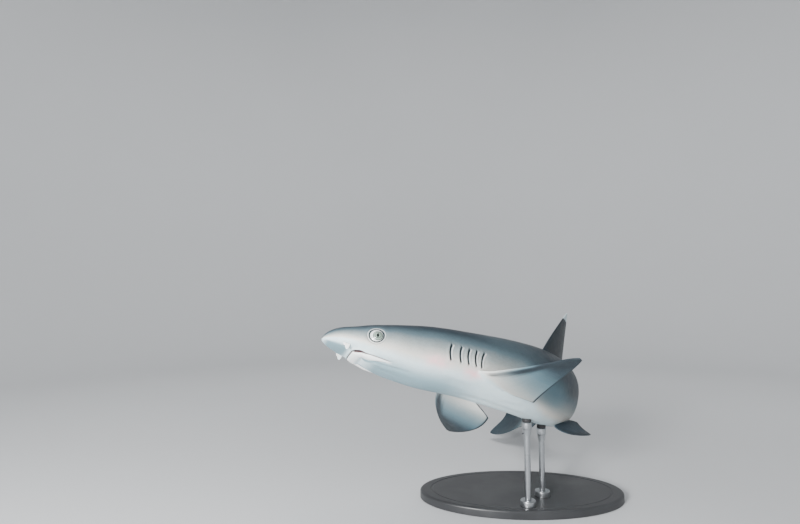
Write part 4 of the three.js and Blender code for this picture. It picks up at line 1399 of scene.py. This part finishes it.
def flip_faces(piece):
    """Turns a mirrored shape's faces right side out again."""
    pick_only(piece)
    bpy.ops.object.mode_set(mode="EDIT")
    bpy.ops.mesh.select_all(action="SELECT")
    bpy.ops.mesh.flip_normals()
    bpy.ops.object.mode_set(mode="OBJECT")


# ------------------------------------------------------------------ the nasal flaps


def model_flap(name, sizes, way):
    """A small curled flap of skin in front of a nostril: a rounded tongue and a small side lobe."""
    deselect_all()
    bpy.ops.mesh.primitive_grid_add(x_subdivisions=14, y_subdivisions=10, size=2)
    flap = begin(name)
    bpy.ops.object.mode_set(mode="OBJECT")
    grid = read_points(flap.data)
    across, down = grid[:, 0], (1 - grid[:, 1]) / 2
    place, height = (np.interp(across, (-1, 1), ends) for ends in zip(*FLAP_ROOT))
    root = on_skin(-place * LENGTH, height, 1)
    tongue = 1 - np.clip(np.abs(across + 0.22) / 0.78, 0, 1) ** 2.6
    lobes = 0.34 + 0.66 * tongue + 0.26 * hill(across - 0.8, 0.17)
    length = sizes.flap_length * lobes
    narrowing = (root - root.mean(0)) * (-0.28 * down)[:, None]
    hang = np.array((0.0, -0.12, -0.99))
    out = np.array((0.25, 0.95, -0.15))
    curl = (0.2 + 3.6 * down * (1 - 0.6 * down) - 0.8 * across**2 * down) * MM
    shaped = root + narrowing + hang * (down * length)[:, None] + out * curl[:, None]
    shaped[:, 1] *= way
    write_attribute(flap.data, "root", 1 - down)
    write_points(flap.data, shaped)
    if way < 0:
        flip_faces(flap)
    add_modifier(flap, "SOLIDIFY", thickness=1.0 * MM, offset=0.0)
    add_modifier(flap, "SUBSURF", levels=2, render_levels=2)
    write_points(flap.data, lay_along_spine(read_points(flap.data)))
    flap.data.shade_smooth()
    return flap


# ------------------------------------------------------------------ the display stand


def turned_piece(name, profile, steps=72):
    """Spins a profile of (radius, height) corners, both on the axis at its ends, into a solid."""
    deselect_all()
    bpy.ops.mesh.primitive_circle_add(vertices=3, radius=profile[1][0], fill_type="NOTHING")
    piece = begin(name)
    bpy.ops.mesh.delete(type="VERT")
    cage = bmesh.from_edit_mesh(piece.data)
    corners = [cage.verts.new((radius, 0, height)) for radius, height in profile]
    for edge in (cage.edges.new(pair) for pair in zip(corners, corners[1:])):
        edge.select_set(True)
    bmesh.update_edit_mesh(piece.data)
    bpy.ops.mesh.select_all(action="SELECT")
    bpy.ops.mesh.spin(steps=steps, angle=2 * math.pi, center=(0, 0, 0), axis=(0, 0, 1))
    bpy.ops.mesh.select_all(action="SELECT")
    bpy.ops.mesh.remove_doubles(threshold=1e-6)
    bpy.ops.mesh.normals_make_consistent(inside=False)
    bpy.ops.object.mode_set(mode="OBJECT")
    return piece


def smooth_piece(piece, angle=32):
    """Shades a turned piece smooth, but for its edges sharper than an angle in degrees."""
    pick_only(piece)
    bpy.ops.object.shade_smooth_by_angle(angle=math.radians(angle))


def round_over(radius, height, size, steps=5):
    """Profile corners of a quarter-round between a side and the top that it carries."""
    turns = [math.pi / 2 * k / steps for k in range(steps + 1)]
    return [(radius - size + size * math.cos(t), height - size + size * math.sin(t)) for t in turns]


def model_base():
    """The oval base: a rounded edge, and a shallow line turned round its top."""
    _, (half_long, radius, height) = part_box("stand_base")
    line_at, line, depth = radius - 13 * MM, 1.6 * MM, 0.9 * MM
    foot = [(0, 0), (radius - 1.4 * MM, 0), (radius, 1.2 * MM)]
    hollow = ((1, 0), (0.5, 1), (-0.5, 1), (-1, 0))
    groove = [(line_at + out * line, height - down * depth) for out, down in hollow]
    profile = [*foot, *round_over(radius, height, 4 * MM), *groove, (0, height)]
    base = turned_piece("display_base", profile, steps=144)
    write_points(base.data, read_points(base.data) * (half_long / radius, 1, 1))
    smooth_piece(base)
    return base


def model_rod(place, steel, rubber):
    """A rod with its cup, the rubber pad in the cup, and the collar at its foot."""
    collar_low, collar_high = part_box(f"stand_collar_{place}")
    middle = (collar_low + collar_high) / 2
    foot, rim = collar_low.z, collar_high.z
    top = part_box(f"stand_rod_{place}")[1].z

    def under_top(*corners):
        """Profile corners given as a radius and a depth under the rod's top, in mm."""
        return [(radius * MM, top - down * MM) for radius, down in corners]

    cup_curve = [(8.4 + 0.6 * math.sin(0.3 * k), 20 - 0.3 * k) for k in range(5)]
    neck, mouth = ((5.5, 34), (5.9, 32), (7.8, 22)), ((9, 9), (8.2, 8.2), (0, 8.2))
    pad = ((0, 8.1), (7.9, 8.1), (8.4, 7), (8.4, 1), (0, 1))
    sleeve = [(6.9 * MM, rim), (6 * MM, rim - 0.8 * MM), (0, rim - 0.8 * MM)]
    pieces = (
        ("rod", [(0, foot), (5.5 * MM, foot), *under_top(*neck, *cup_curve, *mouth)], steel),
        ("pad", under_top(*pad), rubber),
        ("collar", [(0, foot), (14 * MM, foot), *round_over(14 * MM, rim, 2 * MM), *sleeve], steel),
    )
    for kind, profile, material in pieces:
        piece = turned_piece(f"display_{kind}_{place}", profile)
        write_points(piece.data, read_points(piece.data) + (middle.x, middle.y, 0))
        smooth_piece(piece)
        replaced = [] if kind == "pad" else [f"stand_{kind}_{place}"]
        finish_piece(piece, material, "stand_rod", *replaced)


def finish_piece(piece, material, slot, *nodes):
    """Gives a piece its material, parents it to the root and hides the frame's nodes that it stands for;
    its slot is not used.
    """
    piece.data.materials.append(material)
    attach(piece, "root")
    if nodes:
        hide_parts(*nodes)


# ------------------------------------------------------------------ settings and operators


def length_property(name, description, size):
    """A length that a user may change."""
    return bpy.props.FloatProperty(
        name=name, description=description, default=size, min=0, unit="LENGTH", precision=4
    )


def share_property(name, description, share):
    """A place behind the snout that a user may change, as a share of the shark's length."""
    return bpy.props.FloatProperty(
        name=name, description=description, default=share, min=0, max=1, precision=4
    )


def degrees_property(name, description, degrees):
    """An angle that a user may change, in degrees."""
    return bpy.props.FloatProperty(name=name, description=description, default=degrees, min=-90, max=90)


def colour_property(name, description, red, green, blue):
    """A colour that a user may change, with its default given as on a screen."""
    return bpy.props.FloatVectorProperty(
        name=name, description=description, subtype="COLOR", size=3, min=0, max=1,
        default=tint(red, green, blue),
    )


class SkinSizes(bpy.types.PropertyGroup):
    """Sizes of the details sculpted into the skin"""

    eye_at: share_property("Eye place", "Middle of the eye behind the snout", 0.0684)
    eye_angle: degrees_property("Eye angle", "How far above the head's side the eye stands", 9.2)
    eye_length: length_property("Eye length", "Length of the opening between the lids", 21.6 * MM)
    eye_height: length_property("Eye height", "Height of the opening between the lids", 20.4 * MM)
    eye_depth: length_property("Eyeball depth", "Half the eyeball's thickness, in to out", 7 * MM)
    eye_sink: length_property("Eye set", "How far the eyeball stands out of the head", 0.6 * MM)
    nostril_at: share_property("Nostril place", "Middle of the nostril behind the snout", 0.0339)
    nostril_angle: degrees_property("Nostril angle", "How far round the snout the nostril stands", -50)
    flap_length: length_property("Nasal flap length", "How far each nostril's flap hangs", 10 * MM)
    gill_height: length_property("Gill slit height", "Height of each gill slit", 30 * MM)
    lip_fullness: length_property("Lip fullness", "How far the lower lip swells out", 3.6 * MM)


class SharkColours(bpy.types.PropertyGroup):
    """Colours of the skin, fins, mouth and eyes"""

    back: colour_property("Back", "Darkest skin, along the back", 42, 54, 63)
    shoulder: colour_property("Shoulder", "Upper flank, and the shade in the fins", 84, 102, 110)
    flank: colour_property("Flank", "Middle of the flank", 142, 150, 150)
    low_flank: colour_property("Lower flank", "Warm pale skin above the belly", 208, 206, 199)
    belly: colour_property("Belly", "Palest skin, and the white fin tips", 206, 224, 229)
    blush: colour_property("Blush", "Pink patches about the gills", 242, 196, 200)
    spot: colour_property("Spots", "Sparse spots and the snout's pores", 74, 78, 80)
    # Real dusky fin tips and edges, and painted shade over the dorsal and anal fins.
    dusk_and_shade: colour_property("Dusky edges", "Fin tips and edges", 36, 44, 50)
    # Also paints the highlight behind each gill slit.
    lip: colour_property("Lips", "Lips, gill flaps and lid edges", 246, 248, 247)
    # Painted bluish shade under the head and jaw, behind the pectoral fins and on their undersides.
    shade: colour_property("Underside shade", "Bluish skin under the snout and the jaw", 96, 128, 140)
    # Painted shade along the line between the jaws.
    lip_line: colour_property("Lip line", "The line between the lips", 92, 80, 76)
    # Painted shade in the mouth's gap, partly its own red.
    mouth: colour_property("Mouth", "The gap at the front of the mouth", 58, 30, 36)
    # Painted shade inside the gill slits.
    slit: colour_property("Gill slits", "Inside the gill slits", 30, 42, 50)
    # Also painted shade inside the nostrils and on the fold below each eye.
    lid: colour_property("Lids", "Dark lid rims and nostrils", 30, 38, 42)
    iris_pale: colour_property("Pale iris", "The iris's pale rings", 148, 164, 152)
    iris_dark: colour_property("Dark iris", "The iris's dark rings", 66, 84, 78)
    eye_white: colour_property("Eye white", "The eye outside its iris", 236, 240, 238)
    pupil: colour_property("Pupil", "The slit pupil", 14, 18, 20)


class StandColours(bpy.types.PropertyGroup):
    """Colours of the display stand"""

    paint: colour_property("Base paint", "Satin paint of the oval base", 43, 44, 46)
    steel: colour_property("Rod steel", "Brushed steel of the rods and collars", 183, 186, 189)


class StageSettings(bpy.types.PropertyGroup):
    """The camera, lights and floor"""

    focal_length: bpy.props.FloatProperty(
        name="Focal length", description="Focal length of the camera's lens", default=23.85, unit="CAMERA"
    )
    camera_place: bpy.props.FloatVectorProperty(
        name="Camera place", description="Where the camera stands", size=3,
        default=(-0.2404, -1.083, 0.3898), subtype="TRANSLATION", unit="LENGTH", precision=4,
    )
    camera_tilt: degrees_property("Camera tilt", "How far the camera looks up from level", 4.1)
    key_power: bpy.props.FloatProperty(
        name="Key light", description="Power of the key light, in watts", default=78
    )
    backdrop_power: bpy.props.FloatProperty(
        name="Backdrop lights", description="Power of each light on the wall, in watts", default=36
    )
    around: bpy.props.FloatProperty(
        name="Light around", description="Strength of the light from all round", default=0.16
    )
    floor: colour_property("Floor", "Colour of the floor and the curved wall", 205, 207, 209)


FLESH_NODES = (
    "head", "lower_jaw", "throat_gills", "trunk_front", "trunk_rear", "tail_stalk",
    "first_dorsal_fin", "second_dorsal_fin", "anal_fin", "pectoral_fin_left", "pectoral_fin_right",
    "pelvic_fin_left", "pelvic_fin_right", "tail_fin_upper_lobe", "tail_fin_lower_lobe",
)


class ModelSkin(bpy.types.Operator):
    """Model the shark's whole skin, from its cage to the sculpted surface on the curved spine"""

    bl_idname = "reef_shark.model_skin"
    bl_label = "Model the Skin"

    def execute(self, context):
        skin = model_cage()
        add_modifier(skin, "SUBSURF", levels=1, render_levels=1)
        refine_skin(skin, context.scene.shark_sizes)
        shape_skin(skin, context.scene.shark_sizes)
        skin.data.shade_smooth()
        finish_piece(skin, skin_material(context.scene.shark_colours), "skin", *FLESH_NODES)
        return {"FINISHED"}


class ModelEyes(bpy.types.Operator):
    """Model both eyes, with their irises and slit pupils"""

    bl_idname = "reef_shark.model_eyes"
    bl_label = "Model the Eyes"

    def execute(self, context):
        material = eye_material(context.scene.shark_colours)
        for side, way in (("left", 1), ("right", -1)):
            eye = model_eye(f"shark_eye_{side}", context.scene.shark_sizes, way)
            finish_piece(eye, material, "eye", f"eye_{side}")
        return {"FINISHED"}


class ModelNasalFlaps(bpy.types.Operator):
    """Model the curled flap of skin in front of each nostril"""

    bl_idname = "reef_shark.model_nasal_flaps"
    bl_label = "Model the Nasal Flaps"

    def execute(self, context):
        material = flap_material(context.scene.shark_colours)
        for side, way in (("left", 1), ("right", -1)):
            flap = model_flap(f"nasal_flap_{side}", context.scene.shark_sizes, way)
            finish_piece(flap, material, "skin", f"nostril_flap_{side}")
        return {"FINISHED"}


class ModelStand(bpy.types.Operator):
    """Model the display stand: the oval base, and each rod with its collar, cup and pad"""

    bl_idname = "reef_shark.model_stand"
    bl_label = "Model the Stand"

    def execute(self, context):
        colours = context.scene.stand_colours
        paint = painted_material("satin black paint", colours.paint)
        finish_piece(model_base(), paint, "stand_base", "stand_base")
        steel = brushed_material("brushed steel", colours.steel)
        rubber = rubber_material("pad rubber")
        for place in ("front", "rear"):
            model_rod(place, steel, rubber)
        return {"FINISHED"}


def add_softbox(name, place, size, power, aim=(-0.1, -0.1, 0.26)):
    """A square, soft light that looks at a point, by default the shark's middle."""
    bpy.ops.object.light_add(type="AREA", location=place)
    light = bpy.context.object
    light.name = name
    light.data.size = size
    light.data.energy = power
    light.rotation_euler = (Vector(aim) - Vector(place)).to_track_quat("-Z", "Y").to_euler()


class BuildStage(bpy.types.Operator):
    """Build the pale floor with its curved wall, the soft lights and the camera"""

    bl_idname = "reef_shark.build_stage"
    bl_label = "Build the Stage"

    def execute(self, context):
        settings = context.scene.shark_stage
        reach, bend, wall = 2.4, 1.4, 3.4  # the flat floor, the curve's radius and the wall's height
        turns = np.radians(range(0, 91, 9))
        curve = [(reach + bend * math.sin(turn), bend - bend * math.cos(turn)) for turn in turns]
        floor = turned_piece("studio_floor", [(0, 0), *curve, (reach + bend, wall)], steps=96)
        floor.data.shade_smooth()
        material, nodes, shader = new_material("studio paper")
        haze = clouds(nodes, nodes.object_place(), 2.0, 1.0)
        darker = tuple(0.97 * c for c in settings.floor)
        nodes.fill(shader, {"Base Color": nodes.mix(haze, darker, settings.floor), "Roughness": 0.9})
        floor.data.materials.append(material)

        world = bpy.data.worlds.new("studio air")
        world.use_nodes = True
        sky = world.node_tree.nodes["Background"]
        sky.inputs["Color"].default_value = (0.93, 0.96, 1.0, 1)
        sky.inputs["Strength"].default_value = settings.around
        context.scene.world = world
        add_softbox("key_softbox", (-1.05, -1.6, 0.66), 0.45, settings.key_power)
        overhead_power = settings.backdrop_power * 0.2
        add_softbox("overhead_softbox", (0.0, 0.2, 2.8), 1.6, overhead_power, aim=(0, 0.2, 0))
        for turn in (0, 90, 180, 270):
            out = Vector((math.sin(math.radians(turn)), math.cos(math.radians(turn)), 0))
            add_softbox(
                f"backdrop_softbox_{turn}", out * 0.9 + Vector((0, 0, 2.5)), 1.3, settings.backdrop_power,
                aim=out * 4 + Vector((0, 0, 0.9)),
            )

        bpy.ops.object.camera_add(location=settings.camera_place)
        camera = context.object
        camera.rotation_euler = (math.radians(90 + settings.camera_tilt), 0, 0)
        camera.data.lens = settings.focal_length
        context.scene.camera = camera
        return {"FINISHED"}


class REEF_SHARK_PT_panel(bpy.types.Panel):
    """The sidebar panel that lists the operators and the settings"""

    bl_label = "Reef Shark"
    bl_space_type = "VIEW_3D"
    bl_region_type = "UI"
    bl_category = "Reef Shark"

    def draw(self, context):
        for operator in OPERATORS:
            self.layout.operator(operator.bl_idname)
        for key, kind in SETTINGS.items():
            box = self.layout.box()
            box.label(text=kind.__doc__)
            for setting in kind.__annotations__:
                box.prop(getattr(context.scene, key), setting)


SETTINGS = {
    "shark_sizes": SkinSizes,
    "shark_colours": SharkColours,
    "stand_colours": StandColours,
    "shark_stage": StageSettings,
}
OPERATORS = (ModelSkin, ModelEyes, ModelNasalFlaps, ModelStand, BuildStage)


def register():
    for kind in (*SETTINGS.values(), *OPERATORS, REEF_SHARK_PT_panel):
        bpy.utils.register_class(kind)
    for key, kind in SETTINGS.items():
        setattr(bpy.types.Scene, key, bpy.props.PointerProperty(type=kind))


def unregister():
    for key in SETTINGS:
        delattr(bpy.types.Scene, key)
    for kind in reversed((*SETTINGS.values(), *OPERATORS, REEF_SHARK_PT_panel)):
        bpy.utils.unregister_class(kind)


def main():
    register()
    bpy.ops.reef_shark.model_skin()
    bpy.ops.reef_shark.model_eyes()
    bpy.ops.reef_shark.model_nasal_flaps()
    bpy.ops.reef_shark.model_stand()
    bpy.ops.reef_shark.build_stage()


if __name__ == "__main__":
    main()
